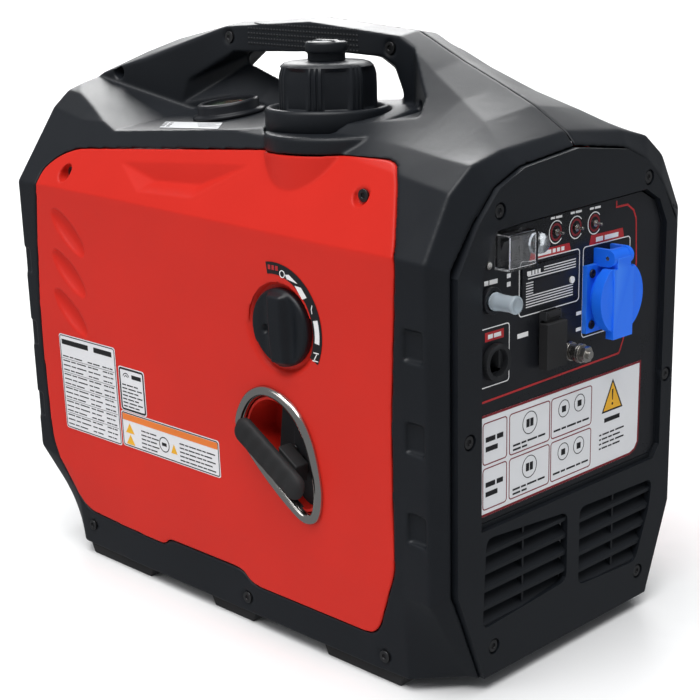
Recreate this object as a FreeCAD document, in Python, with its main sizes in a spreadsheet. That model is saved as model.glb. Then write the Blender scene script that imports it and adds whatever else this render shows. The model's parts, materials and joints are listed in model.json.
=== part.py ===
import FreeCAD, Part
import math
import os
import Sketcher
from FreeCAD import Placement, Rotation, Vector

# Inverter generator, millimetres, +Z up.
# +X is the control-panel end, -X the exhaust end, -Y the starter side, +Y the service side.
# Everything is laid out about the casing's middle plane; the last step slides the whole
# assembly so that the origin lies under the middle of its bounding box.

SIZES = {
    # casing
    "case_wall": 3.2,
    "cover_thickness": 3.0,
    "cover_gap": 0.5,
    "web_half_thickness": 22.0,
    "floor_height": 10.0,
    "tray_length": 436.0,
    "tray_width": 186.0,
    "tray_thickness": 4.0,
    "foot_depth": 34.0,
    "end_frame_back": 235.0,
    "end_frame_front": 247.0,
    "exhaust_cover_front": -244.0,
    "exhaust_cover_back": -238.0,
    # filler and gauge
    "filler_x": 65.0,
    "filler_y": -66.0,
    "collar_radius": 47.0,
    "collar_bore": 39.5,
    "collar_bottom": 373.0,
    "collar_top": 405.0,
    "cap_radius": 37.3,
    "cap_bottom": 401.0,
    "cap_height": 37.0,
    "cap_wall": 3.5,
    "neck_radius": 25.0,
    "neck_bore": 21.0,
    "gasket_thickness": 2.5,
    "vent_radius": 16.0,
    "vent_height": 15.5,
    "gauge_x": -60.0,
    "gauge_y": -55.0,
    "gauge_radius": 25.5,
    "gauge_flange": 30.0,
    "gauge_barrel": 17.0,
    # control panel
    "panel_back": 240.0,
    "panel_front": 243.0,
    "panel_left": -104.0,
    "panel_right": 112.0,
    "panel_bottom": 128.5,
    "panel_top": 334.0,
    "socket_flange": 50.0,
    "socket_y": 37.8,
    "socket_z": 268.5,
    "socket_barrel_radius": 20.5,
    "socket_barrel_depth": 32.0,
    "lid_radius": 26.5,
    "lid_pin_out": 12.3,
    "lid_pin_up": 29.8,
    "lid_pin_radius": 1.5,
    "reset_radius": 6.6,
    "reset_length": 22.0,
    "stud_radius": 3.0,
    "stud_length": 34.0,
    "indicator_radius": 2.6,
    "pivot_radius": 1.3,
    # starter side
    "knob_x": 93.0,
    "knob_z": 254.0,
    "knob_radius": 29.0,
    "knob_thickness": 7.0,
    "dish_radius": 33.0,
    "dish_depth": 5.5,
    "crank_x": 45.0,
    "crank_z": 150.0,
    "pulley_radius": 56.0,
    "pulley_groove": 49.0,
    "starter_radius": 72.0,
    "flywheel_radius": 64.0,
    "fan_radius": 78.0,
    "shroud_radius": 84.0,
    # engine
    "journal_radius": 10.0,
    "running_gap": 0.05,
    "crank_throw": 20.0,
    "bore_radius": 26.0,
    "engine_y": 17.0,
    "mount_radius": 13.0,
    "mount_height": 44.0,
    # inside boxes
    "tank_length": 290.0,
    "tank_width": 196.0,
    "tank_height": 76.0,
    "inverter_length": 46.0,
    "inverter_width": 180.0,
    "inverter_height": 84.0,
    "muffler_length": 74.0,
    "muffler_width": 180.0,
    "muffler_height": 150.0,
    "cleaner_length": 100.0,
    "cleaner_width": 42.0,
    "cleaner_height": 92.0,
}

doc = FreeCAD.newDocument("inverter_generator")
sheet = doc.addObject("Spreadsheet::Sheet", "Sizes")
for row, (alias, value) in enumerate(SIZES.items(), start=1):
    sheet.set("A%d" % row, alias)
    sheet.set("B%d" % row, str(value))
    sheet.setAlias("B%d" % row, alias)
doc.recompute()

X_AXIS = Vector(1, 0, 0)
Y_AXIS = Vector(0, 1, 0)
Z_AXIS = Vector(0, 0, 1)
sub_parts = []


def size(alias):
    """The sheet's present value of one driving dimension."""
    return float(sheet.get(alias))


def keep(obj, label):
    """Register an object as a finished sub-part under its node name."""
    obj.Label = label
    sub_parts.append(obj)
    return obj


# ---------------------------------------------------------------- shape helpers

def block(low, high):
    """Box between two opposite corners."""
    low = Vector(*low)
    high = Vector(*high)
    span = high - low
    return Part.makeBox(span.x, span.y, span.z, low)


def rod(radius, start, axis, length):
    """Round bar from a start point along an axis."""
    return Part.makeCylinder(radius, length, Vector(*start), axis)


def tube(outer, inner, start, axis, length):
    """Round pipe from a start point along an axis."""
    return rod(outer, start, axis, length).cut(rod(inner, start, axis, length))


def prism(points, vector):
    """Closed polygon swept along a vector."""
    corners = [Vector(*p) for p in points]
    wire = Part.makePolygon(corners + corners[:1])
    return Part.Face(wire).extrude(vector)


def side_prism(outline, y_low, y_high):
    """Outline in X and Z swept from y_low to y_high."""
    return prism([(x, y_low, z) for x, z in outline], Vector(0, y_high - y_low, 0))


def end_prism(outline, x_low, x_high):
    """Outline in Y and Z swept from x_low to x_high."""
    return prism([(x_low, y, z) for y, z in outline], Vector(x_high - x_low, 0, 0))


def smooth_side_prism(outline, y_low, y_high):
    """Like side_prism, with one closed smooth curve through the points."""
    curve = Part.BSplineCurve()
    curve.interpolate([Vector(x, y_low, z) for x, z in outline], PeriodicFlag=True)
    wire = Part.Wire([curve.toShape()])
    return Part.Face(wire).extrude(Vector(0, y_high - y_low, 0))


def grown(outline, amount):
    """Polygon moved outwards by an amount, with corners kept."""
    wire = Part.makePolygon([Vector(a, b, 0) for a, b in outline + outline[:1]])
    bigger = wire.makeOffset2D(amount, 2)
    return [(v.X, v.Y) for v in bigger.OrderedVertexes]


def eased(outline, reach):
    """Polygon with each corner replaced by a short curve that starts a given reach before it."""
    points = []
    count = len(outline)
    for i, (a, b) in enumerate(outline):
        ends = []
        for other in (outline[i - 1], outline[(i + 1) % count]):
            length = math.hypot(other[0] - a, other[1] - b)
            part = min(reach, 0.42 * length) / length
            ends.append((a + (other[0] - a) * part, b + (other[1] - b) * part))
        for t in (0.0, 0.33, 0.67, 1.0):
            before, after = (1 - t) ** 2, t ** 2
            corner = 2 * t * (1 - t)
            points.append((before * ends[0][0] + corner * a + after * ends[1][0],
                           before * ends[0][1] + corner * b + after * ends[1][1]))
    return points


def fuse(shapes):
    result = shapes[0]
    if len(shapes) > 1:
        result = shapes[0].multiFuse(shapes[1:])
    return result.removeSplitter()


def cut(base, tools):
    return base.cut(Part.makeCompound(tools)) if tools else base


def add_feature(label, shape):
    """Sub-part whose shape is worked out above from the sheet's sizes."""
    obj = doc.addObject("Part::Feature", label)
    obj.Shape = shape
    return keep(obj, label)


def add_group(label, shapes):
    """Several solids that share one node."""
    return add_feature(label, Part.makeCompound(shapes))


# ---------------------------------------------------------------- parametric object helpers

def expression(obj, name, value):
    """Bind a property to a sheet expression, or set a plain number."""
    if isinstance(value, str):
        obj.setExpression(name, value)
    else:
        setattr(obj, name, value)


def add_box(label, length, width, height, corner, edge_radius=0.0):
    """Part::Box with its sides bound to the sheet, optionally with rounded upright edges."""
    obj = doc.addObject("Part::Box", label + "_box")
    expression(obj, "Length", length)
    expression(obj, "Width", width)
    expression(obj, "Height", height)
    obj.Placement = Placement(Vector(*corner), Rotation())
    doc.recompute()
    if not edge_radius:
        return keep(obj, label)
    fillet = doc.addObject("Part::Fillet", label)
    fillet.Base = obj
    count = len(obj.Shape.Edges)
    fillet.Edges = [(i + 1, edge_radius, edge_radius) for i in range(count)]
    doc.recompute()
    return keep(fillet, label)


def origin_plane(body, role):
    return [f for f in body.Origin.OriginFeatures if f.Role == role][0]


def sketch_polygon(body, name, role, points):
    """Closed polygon sketch. A coordinate given as text is bound to the sheet."""
    sketch = body.newObject("Sketcher::SketchObject", name)
    sketch.AttachmentSupport = [(origin_plane(body, role), "")]
    sketch.MapMode = "FlatFace"
    values = [[evaluate(c) for c in p] for p in points]
    count = len(points)
    for i in range(count):
        a = Vector(values[i][0], values[i][1], 0)
        b = Vector(values[(i + 1) % count][0], values[(i + 1) % count][1], 0)
        sketch.addGeometry(Part.LineSegment(a, b), False)
    for i in range(count):
        sketch.addConstraint(Sketcher.Constraint("Coincident", i, 2, (i + 1) % count, 1))
    for i, point in enumerate(points):
        for kind, value, raw in zip(("DistanceX", "DistanceY"), values[i], point):
            index = sketch.addConstraint(Sketcher.Constraint(kind, i, 1, value))
            if isinstance(raw, str):
                sketch.setExpression("Constraints[%d]" % index, raw)
    return sketch


def evaluate(value):
    """Number behind a coordinate: a plain number, or text such as 'Sizes.cap_radius - 2'."""
    if not isinstance(value, str):
        return float(value)
    total = 0.0
    sign = 1.0
    for word in value.replace("Sizes.", "").split():
        if word in "+-":
            sign = 1.0 if word == "+" else -1.0
        else:
            number = size(word) if word in SIZES else float(word)
            total += sign * number
    return total


def add_turned(label, profile, base, axis):
    """PartDesign body: a profile of radius and height turned about its own Z axis."""
    body = doc.addObject("PartDesign::Body", label)
    sketch = sketch_polygon(body, label + "_profile", "XZ_Plane", profile)
    turn = body.newObject("PartDesign::Revolution", label + "_turn")
    turn.Profile = sketch
    turn.ReferenceAxis = (sketch, ["V_Axis"])
    turn.Angle = 360
    doc.recompute()
    body.Placement = Placement(Vector(*base), Rotation(Z_AXIS, axis))
    return keep(body, label)


def add_padded(label, outline, thickness, base, rotation):
    """PartDesign body: an outline padded along its own Z axis."""
    body = doc.addObject("PartDesign::Body", label)
    sketch = sketch_polygon(body, label + "_outline", "XY_Plane", outline)
    pad = body.newObject("PartDesign::Pad", label + "_pad")
    pad.Profile = sketch
    expression(pad, "Length", thickness)
    doc.recompute()
    body.Placement = Placement(Vector(*base), rotation)
    return keep(body, label)


# own X becomes +Y, own Y becomes +Z, own Z becomes +X
FACING_END = Rotation(Vector(0, 1, 0), Vector(0, 0, 1), Vector(1, 0, 0), "ZXY")


# ---------------------------------------------------------------- casing

# Half sections of the moulded casing, from the exhaust end to the panel end:
# x, then (y, z) of the floor corner, skirt, crease, slope top, brow and ridge, then crest z.
CASE_SECTIONS = [
    (-247, (96, 34), (132, 96), (134, 322), (97, 384), (80, 397), (50, 408), 424),
    (-233, (106, 22), (144, 92), (148, 331.5), (106, 391), (90, 404), (56, 415), 432),
    (-185, (137, 10), (142.5, 78), (148.5, 331), (112, 383), (93, 399), (36, 433), 445),
    (-100, (138.5, 10), (142.5, 78), (148.5, 329), (112, 383), (93, 396), (22, 457.5), 461),
    (0, (138.5, 10), (142.5, 78), (148.5, 326), (110, 387), (92, 397), (22, 463), 466),
    (98, (138.5, 10), (142.5, 78), (148.5, 323), (112, 381), (94, 393), (22, 454), 457.5),
    (141, (138.5, 10), (142.5, 78), (148.5, 321.5), (115, 376), (97, 388), (32, 430), 437),
    (176, (138.5, 10), (142.5, 78), (148.6, 321), (118, 371), (98, 385), (42, 413), 422),
    (207, (137, 10), (142.5, 78), (148.8, 320), (121, 366), (101, 381), (54, 400), 408),
    (235, (106, 10), (145, 78), (149, 318.5), (124, 362), (102, 378), (70, 385), 391),
    (243, (102, 10), (134.5, 83), (134.6, 313), (112, 345), (91, 362), (64, 374), 382),
]
END_FRAME_OUTLINE = [(101, 11.5), (129.5, 83), (129.5, 308), (108, 341), (87, 362), (60, 373), (0, 380)]
EXHAUST_OUTLINE = [(88, 42), (122, 100), (122, 318), (90, 374), (74, 386), (46, 396), (0, 408)]


def mirrored_outline(half):
    """Full outline from the half on +Y; a point on the middle plane is used once."""
    return half + [(-y, z) for y, z in reversed(half) if y > 0]


def section_wire(station, inset):
    x = station[0]
    half = []
    for y, z in station[1:-1]:
        lift = inset if z < 50 else 0.0
        drop = inset if z > 340 else 0.0
        half.append((y - inset, z + lift - drop))
    half.append((0.0, station[-1] - inset))
    corners = [Vector(x, y, z) for y, z in mirrored_outline(half)]
    return Part.makePolygon(corners + corners[:1])


BOSS_CENTRE = (86.0, -77.0)
BOSS_RADIUS = 54.0
BOSS_BOTTOM = 340.0
BOSS_TOP = 388.0
BOSS_SHOULDER = 1.5


def filler_boss(inset):
    """Round boss that swells out of the slope under the filler, ending in a sloping shoulder."""
    foot = (BOSS_CENTRE[0], BOSS_CENTRE[1], BOSS_BOTTOM)
    boss = rod(BOSS_RADIUS - inset, foot, Z_AXIS, BOSS_TOP - BOSS_BOTTOM - inset)
    shoulder = Part.makeCone(BOSS_RADIUS - inset, BOSS_RADIUS - inset - BOSS_SHOULDER, BOSS_SHOULDER,
                             Vector(BOSS_CENTRE[0], BOSS_CENTRE[1], BOSS_TOP - inset), Z_AXIS)
    return boss.fuse(shoulder)


def casing_solid(inset):
    """The casing's outer form, or its hollow when inset is the wall's thickness."""
    wires = [section_wire(station, inset) for station in CASE_SECTIONS]
    return Part.makeLoft(wires, True, True).fuse(filler_boss(inset))


def above_plane(point, slope_x, slope_y):
    """Everything above a tilted plane through a point."""
    normal = Vector(-slope_x, -slope_y, 1).normalize()
    solid = Part.makeBox(900, 900, 400, Vector(-450, -450, 0))
    solid.Placement = Placement(Vector(*point), Rotation(Z_AXIS, normal))
    return solid


SHELF_POINT = (-135, -111, 378)
SHELF_SLOPES = (0.065, 0.12)
SHELF_RISE = -0.28


def top_recess(margin):
    """Hand room beside the handle web on the starter side: the shelf and its rising left end."""
    web = size("web_half_thickness") - margin
    plan = [(-246, -56 + margin), (-98, -web), (112, -web), (150, -52 + margin),
            (172 + margin, -92), (176 + margin, -200), (-246, -200)]
    column = prism([(x, y, 300) for x, y in plan], Vector(0, 0, 260))
    low_point = (SHELF_POINT[0], SHELF_POINT[1], SHELF_POINT[2] - margin)
    shelf = above_plane(low_point, SHELF_SLOPES[0], SHELF_SLOPES[1])
    rise = above_plane(low_point, SHELF_RISE, SHELF_SLOPES[1])
    return column.common(shelf).common(rise)


def far_side(shape):
    """Mirror image on the service side."""
    return shape.mirror(Vector(0, 0, 0), Y_AXIS)


def top_recesses(margin):
    """The hand room on both sides of the web, with the filler boss left standing on the starter side."""
    near = top_recess(margin)
    return [near.cut(filler_boss(margin)), far_side(near)]


# The hand hole's outline where it is narrowest, on the middle plane, and where it has flared out
HAND_THROAT = [(-95, 434), (-95, 427), (-58, 415), (-5, 398), (83, 398), (81, 411), (73, 428), (58, 436),
               (30, 439), (-86, 439)]
HAND_MOUTH = [(-160, 402), (-166, 380), (-60, 380), (-5, 380), (124, 380), (123, 415), (115, 436), (104, 441),
              (30, 442), (-96, 435)]
HAND_MOUTH_DEPTH = 45.0


def hand_hole(margin):
    """The opening through the handle web, flared at both ends but never cut below the shelf."""
    throat = grown(HAND_THROAT, margin) if margin else HAND_THROAT
    mouth = grown(HAND_MOUTH, margin) if margin else HAND_MOUTH
    rings = []
    for outline, y in ((throat, 0.05), (mouth, -HAND_MOUTH_DEPTH)):
        corners = [Vector(x, y, z) for x, z in outline]
        rings.append(Part.makePolygon(corners + corners[:1]))
    flare = Part.makeLoft(rings, True, True)
    point = (SHELF_POINT[0], SHELF_POINT[1], SHELF_POINT[2] - margin)
    flare = flare.common(above_plane(point, SHELF_SLOPES[0], SHELF_SLOPES[1]))
    flare = flare.common(above_plane(point, SHELF_RISE, SHELF_SLOPES[1]))
    return flare.fuse(far_side(flare))


COVER_OUTLINE = eased([
    (-66, 40), (-172.6, 43.5), (-198, 65), (-215.6, 102), (-218, 173.6), (-217.9, 216.8), (-212.7, 277),
    (-206, 333), (-206, 343), (-193, 354), (-173, 361), (50, 375.6), (135, 377.4), (172, 376.8), (183, 370),
    (208, 319), (200.3, 206), (199, 146), (199.2, 93), (181, 43), (172, 36.5), (43.7, 36.8), (32.7, 47),
    (-60, 47)], 10.0)
SERVICE_OUTLINE = eased([
    (-190, 60), (-210, 100), (-210, 330), (-190, 352), (170, 366), (196, 330), (190, 100), (170, 60)], 14.0)


def band(outline, y_side, grow):
    """Side prism that takes in one whole side of the casing down to its middle region."""
    shape = grown(outline, grow) if grow else outline
    return side_prism(shape, y_side * 190, y_side * 86)


def skirt_width(z):
    """Casing half width at a height between skirt and crease."""
    return 142.5 + (z - 78) * (148.5 - 142.5) / (325 - 78)


NOTCH_HEIGHTS = (262, 197, 131)
NOTCH_SPANS = ((214, 232), (-246, -226))


def corner_notches(margin):
    """Notches down the four corner posts, or the wall round them when given a margin."""
    depth = 3.0 + margin
    half_height = 11.0 + margin
    cutters = []
    for low_x, high_x in NOTCH_SPANS:
        for z in NOTCH_HEIGHTS:
            near = skirt_width(z) - depth
            box = block((low_x - margin, -170, z - half_height), (high_x + margin, -near, z + half_height))
            cutters.extend([box, far_side(box)])
    return cutters


# Screw seats: (y, z) on the end frame, and (x, seat y, z) down wells in the covers and shells
FRAME_SCREWS = ((-86, 347), (89, 349), (-117, 193), (121, 190), (-90, 33), (90, 33))
FRAME_SEAT = 2.6
COVER_SCREWS = ((-174, -131.5, 342), (159, -124.5, 354))
SIDE_SCREWS = ((-169, -138.0, 30), (36, -137.6, 23), (185, -137.4, 22), (-95, -20.6, 449), (88, -20.6, 445))


DEEP_WELLS = ((136, -36.0, 404), (-215, -26.0, 417))


def screw_wells(screws, radius, depth):
    """Round wells running outwards on the starter side from each screw seat, deepened inwards."""
    return [rod(radius, (x, seat + depth, z), Vector(0, -1, 0), 40) for x, seat, z in screws]


def make_casing():
    wall = size("case_wall")
    outer = casing_solid(0.0)
    outer = cut(outer, [hand_hole(0)] + top_recesses(0.0) + corner_notches(0.0))
    well_walls = screw_wells(SIDE_SCREWS, 6.5 + wall, wall) + screw_wells(DEEP_WELLS, 5.5 + wall, wall)
    hollow = cut(casing_solid(wall), [hand_hole(wall)] + top_recesses(wall) + corner_notches(wall) + well_walls)
    shell = outer.cut(hollow)
    gap = size("cover_gap")
    filler = (size("filler_x"), size("filler_y"))
    gauge = (size("gauge_x"), size("gauge_y"))
    frame_hole = grown(mirrored_outline(END_FRAME_OUTLINE), 0.6)
    exhaust_hole = grown(mirrored_outline(EXHAUST_OUTLINE), 0.6)
    tray = block((-size("tray_length") / 2 - 1, -size("tray_width") / 2 - 1, 0),
                 (size("tray_length") / 2 + 1, size("tray_width") / 2 + 1, 16))
    openings = [
        band(COVER_OUTLINE, -1, gap),
        band(SERVICE_OUTLINE, 1, gap),
        end_prism(frame_hole, 225, 260),
        end_prism(exhaust_hole, -260, -232),
        rod(size("collar_radius") + 0.5, (filler[0], filler[1], 340), Z_AXIS, size("collar_top") + 0.6 - 340),
        rod(size("gauge_barrel") + 1.6, (gauge[0], gauge[1], 340), Z_AXIS, 120),
        tray,
    ]
    openings += screw_wells(SIDE_SCREWS, 6.5, 0.0) + screw_wells(SIDE_SCREWS, 2.4, 10.0)
    openings += screw_wells(DEEP_WELLS, 5.5, 0.0)
    shell = cut(shell, openings)
    near_half = shell.common(block((-300, -200, 0), (300, -0.05, 500)))
    far_half = shell.common(block((-300, 0.05, 0), (300, 200, 500)))
    add_feature("front_shell", largest(near_half))
    add_feature("rear_shell", largest(far_half))
    return outer


def largest(shape):
    """The biggest solid of a result that may hold loose slivers."""
    return sorted(shape.Solids, key=lambda s: s.Volume)[-1]


casing_form = make_casing()


# ---------------------------------------------------------------- covers

RING_OUTLINE = [(39, 170), (44, 186), (56, 200), (74, 207), (95, 203), (112, 191), (123, 173),
                (129, 150), (130.5, 130), (125, 112), (112, 107), (96, 114), (70, 133), (48, 154)]
RING_BAND = 9.0
SCOOP_MIDDLES = ((-165, 293.5), (-168.5, 258.5), (-171, 224))
SCOOP_HALF_LENGTH = 27.0
SCOOP_HALF_WIDTH = 9.5
SCOOP_DEPTH = 6.0
SCOOP_LEAN = 39.0
# Dent under the cover's top edge: its corners on the surface, and the foot of its inner face
DENT_TOP = ((-98, -130.4, 353), (37, -123.8, 363))
DENT_BOTTOM = ((-8, -141.2, 337.5), (-72, -141.2, 337.5))
DENT_FOOT = ((-12, -128.5, 345.5), (-66, -129.5, 345.5))


def ring_opening(margin):
    """Inner outline of the trim ring, drawn in towards its middle."""
    mid_x = sum(x for x, _ in RING_OUTLINE) / len(RING_OUTLINE)
    mid_z = sum(z for _, z in RING_OUTLINE) / len(RING_OUTLINE)
    points = []
    for x, z in RING_OUTLINE:
        reach = math.hypot(x - mid_x, z - mid_z)
        scale = (reach - margin) / reach
        points.append((mid_x + (x - mid_x) * scale, mid_z + (z - mid_z) * scale))
    return points


def leaned(shape):
    """Lean a shape about X so that it lies along the cover's slightly tilted side."""
    face = skirt_width(150)
    lean = math.degrees(math.atan2(skirt_width(250) - face, 100))
    return shape.rotated(Vector(0, -face, 150), X_AXIS, lean)


def half_space(corners, inside, margin):
    """Large block on one side of the plane through three corners, moved outwards by a margin."""
    a, b, c = [Vector(*corner) for corner in corners]
    normal = (b - a).cross(c - a).normalize()
    if (Vector(*inside) - a).dot(normal) < 0:
        normal = normal * -1
    solid = Part.makeBox(400, 400, 200, Vector(-200, -200, 0))
    solid.Placement = Placement(a - normal * margin, Rotation(Z_AXIS, normal))
    return solid


def top_dent(margin):
    """Shallow dent with a steep inner face and sloping facets to its left, right and below."""
    inside = (-35, -139, 350)
    dent = half_space((DENT_TOP[0], DENT_TOP[1], DENT_FOOT[0]), inside, margin)
    facets = ((DENT_BOTTOM[0], DENT_BOTTOM[1], DENT_FOOT[0]), (DENT_TOP[0], DENT_BOTTOM[1], DENT_FOOT[1]),
              (DENT_TOP[1], DENT_BOTTOM[0], DENT_FOOT[0]))
    for corners in facets:
        dent = dent.common(half_space(corners, inside, margin))
    return dent.common(block((-120, -165, 325), (60, -100, 364.5)))


def scoop(x, z, margin):
    """Long shallow dent leaning down towards the panel end."""
    stretch = FreeCAD.Matrix()
    stretch.scale(SCOOP_HALF_LENGTH + margin, SCOOP_DEPTH + margin, SCOOP_HALF_WIDTH + margin)
    dent = Part.makeSphere(1.0).transformGeometry(stretch)
    dent.rotate(Vector(0, 0, 0), X_AXIS, -14)
    dent.rotate(Vector(0, 0, 0), Y_AXIS, SCOOP_LEAN)
    dent.translate(Vector(x, -skirt_width(z), z))
    return dent


def cover_dents(margin):
    """Scoops, trapezoid dent and screw wells of the starter-side cover, or the wall behind them."""
    scoops = [scoop(x, z, margin) for x, z in SCOOP_MIDDLES]
    return [top_dent(margin)] + scoops + screw_wells(COVER_SCREWS, 7.0 + margin, margin)


def make_covers(form):
    thickness = size("cover_thickness")
    inner = cut(casing_solid(thickness), cover_dents(thickness))
    near = form.common(band(COVER_OUTLINE, -1, 0)).cut(inner)
    filler = Vector(size("filler_x"), size("filler_y"), 0)
    knob = (size("knob_x"), size("knob_z"))
    face = -skirt_width(knob[1])
    dish = rod(size("dish_radius") + 6.0, (knob[0], face + 1.0, knob[1]), Y_AXIS, size("dish_depth") + 2)
    bore = rod(size("dish_radius"), (knob[0], face - 5, knob[1]), Y_AXIS, size("dish_depth") + 5)
    spindle = rod(6.5, (knob[0], face - 5, knob[1]), Y_AXIS, 40)
    collar = rod(size("collar_radius") + 0.5, (filler.x, filler.y, 300), Z_AXIS, 200)
    pocket = leaned(smooth_side_prism(ring_opening(RING_BAND - 2.2), -160, -120))
    cover = fuse([near, dish])
    lip = size("dish_radius")
    lead_in = Part.makeCone(lip + 5.0, lip, 3.5, Vector(knob[0], face, knob[1]), Y_AXIS)
    cover = cut(cover, [bore, lead_in, spindle, collar, pocket] + cover_dents(0.0))
    cover = cut(cover, screw_wells(COVER_SCREWS, 2.4, 12.0))
    add_feature("side_cover", largest(cover))
    far = form.common(band(SERVICE_OUTLINE, 1, 0)).cut(casing_solid(thickness))
    add_feature("service_cover", largest(far))


GRILLE_LEFT = eased([(-103, 50), (-99, 118), (-5, 111), (-5, 56)], 7.0)
GRILLE_RIGHT = eased([(10, 47), (10, 110), (106, 107), (103, 84), (86, 43)], 7.0)
SLAT_PITCH = 13.5
SLAT_THICKNESS = 2.8
SLAT_RISE = 9.0


def slats(outline, x_low, x_high):
    """Sloping slats and one upright rib across a grille opening."""
    low_z = min(z for _, z in outline) - 5
    high_z = max(z for _, z in outline) + 5
    low_y = min(y for y, _ in outline) - 1
    high_y = max(y for y, _ in outline) + 1
    middle = (low_y + high_y) / 2
    bars = [block((x_low, middle - 1, low_z), (x_high - 2, middle + 1, high_z))]
    z = low_z - SLAT_RISE
    while z < high_z:
        section = [(x_low, low_y, z + SLAT_RISE), (x_low, low_y, z + SLAT_RISE + SLAT_THICKNESS),
                   (x_high, low_y, z + SLAT_THICKNESS), (x_high, low_y, z)]
        bars.append(prism(section, Vector(0, high_y - low_y, 0)))
        z += SLAT_PITCH
    reach = end_prism(grown(outline, 1.0), x_low - 1, x_high + 1)
    return [bar.common(reach) for bar in bars]


WINDOW = [(-104.5, 128), (-104.5, 306), (-89, 334), (-60, 336), (86, 340.5),
          (104, 331), (112.5, 312), (112.5, 134), (106, 128)]
WINDOW_STEP = [(-104.5, 124), (-104.5, 306), (-89, 334), (-60, 336), (86, 340.5),
               (104, 331), (114.5, 312), (114.5, 134), (106, 124)]


def make_end_frame():
    """Panel-end frame with the control-panel window and the two air grilles."""
    back = size("end_frame_back")
    front = size("end_frame_front")
    plate = end_prism(mirrored_outline(END_FRAME_OUTLINE), back, front)
    core = end_prism(grown(mirrored_outline(END_FRAME_OUTLINE), -3.5), back - 1, front - 6)
    frame = cut(plate, [core, end_prism(WINDOW, back - 5, front + 5),
                        end_prism(WINDOW_STEP, front - 4, front + 5)])
    frame = cut(frame, [end_prism(GRILLE_LEFT, back - 5, front + 5),
                        end_prism(GRILLE_RIGHT, back - 5, front + 5)])
    bars = slats(GRILLE_LEFT, back, front - 1.5) + slats(GRILLE_RIGHT, back, front - 1.5)
    boss_depth = front - back - 1
    bosses = [rod(8.0, (back + 0.5, y, z), X_AXIS, boss_depth).common(plate) for y, z in FRAME_SCREWS]
    wells = [rod(6.0, (front - FRAME_SEAT, y, z), X_AXIS, 20) for y, z in FRAME_SCREWS]
    wells += [rod(2.4, (front - 20, y, z), X_AXIS, 40) for y, z in FRAME_SCREWS]
    frame = cut(fuse([largest(frame)] + bosses + bars), wells)
    add_feature("end_frame", largest(frame))


MUFFLER_OUTLET = (46, 170)


def make_exhaust_cover():
    """Exhaust-end cover with cooling louvres and the outlet hole."""
    back = size("exhaust_cover_back")
    front = size("exhaust_cover_front")
    plate = end_prism(mirrored_outline(EXHAUST_OUTLINE), front, back)
    slots = []
    for i in range(9):
        z = 110 + i * 16
        slots.append(block((front - 5, -86, z), (back + 5, -6, z + 7)))
    for i in range(4):
        z = 250 + i * 16
        slots.append(block((front - 5, 6, z), (back + 5, 86, z + 7)))
    slots.append(rod(24, (front - 5, MUFFLER_OUTLET[0], MUFFLER_OUTLET[1]), X_AXIS, 30))
    add_feature("exhaust_cover", largest(cut(plate, slots)))


def make_base():
    height = size("floor_height")
    add_box("base_tray", "Sizes.tray_length", "Sizes.tray_width", "Sizes.tray_thickness",
            (-size("tray_length") / 2, -size("tray_width") / 2, height))
    depth = size("foot_depth")
    skids = []
    for low_x, high_x in ((-182, -92), (-16, 40), (116, 200)):
        profile = [(low_x, height), (low_x + 5, 0), (high_x - 4, 0), (high_x, height)]
        skid = side_prism(profile, -134, depth - 134)
        skids += [skid, far_side(skid)]
    add_group("feet", skids)


# ---------------------------------------------------------------- filler and gauge

def make_filler():
    x = size("filler_x")
    y = size("filler_y")
    bottom = size("collar_bottom")
    base = (x, y, 0)
    add_turned("filler_collar", [("Sizes.collar_bore", bottom), ("Sizes.collar_radius", bottom),
                                 ("Sizes.collar_radius", "Sizes.collar_top"), (43.0, "Sizes.collar_top"),
                                 ("Sizes.collar_bore", 396.0)], base, Z_AXIS)
    cap_bottom = size("cap_bottom")
    cap_top = cap_bottom + size("cap_height")
    wall = size("cap_wall")
    add_turned("fuel_cap", [
        ("Sizes.cap_radius - 3.5", "Sizes.cap_bottom"), ("Sizes.cap_radius", "Sizes.cap_bottom"),
        ("Sizes.cap_radius", cap_top - 5), ("Sizes.cap_radius - 5", cap_top), (6.05, cap_top),
        (6.05, cap_top - wall), ("Sizes.cap_radius - 3.5", cap_top - wall)], base, Z_AXIS)
    gasket_top = cap_top - wall - 0.1
    gasket_low = gasket_top - size("gasket_thickness")
    add_turned("cap_gasket", [(8.0, gasket_low), (29.0, gasket_low), (29.0, gasket_top), (8.0, gasket_top)],
               base, Z_AXIS)
    add_turned("cap_vent_knob", [
        (0.0, cap_top - wall), (6.0, cap_top - wall),
        (6.0, cap_top + 0.3), ("Sizes.vent_radius", cap_top + 0.3),
        ("Sizes.vent_radius", cap_top + 12), ("Sizes.vent_radius - 3", cap_top + 15.5), (0.0, cap_top + 15.5)],
        base, Z_AXIS)
    gauge_x = size("gauge_x")
    gauge_y = size("gauge_y")
    run = SHELF_SLOPES[0] * (gauge_x - SHELF_POINT[0]) + SHELF_SLOPES[1] * (gauge_y - SHELF_POINT[1])
    gauge = (gauge_x, gauge_y, SHELF_POINT[2] + run)
    upright = Vector(-SHELF_SLOPES[0], -SHELF_SLOPES[1], 1)
    add_turned("gauge_bezel", [
        (16.0, -8.0), ("Sizes.gauge_barrel", -8.0), ("Sizes.gauge_barrel", 0.1), ("Sizes.gauge_flange", 0.1),
        ("Sizes.gauge_flange", 3.2), ("Sizes.gauge_radius", 4.0), ("Sizes.gauge_radius", 10.5), (23.0, 12.0),
        (19.5, 12.0), (19.5, 6.0), (16.0, 6.0)], gauge, upright)
    add_turned("gauge_lens", [(0.0, 6.1), (19.4, 6.1), (19.4, 10.0), (0.0, 10.0)], gauge, upright)


# ---------------------------------------------------------------- control panel

def on_panel(y, z):
    """Point on the control panel's outer face."""
    return (size("panel_front"), y, z)


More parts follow.
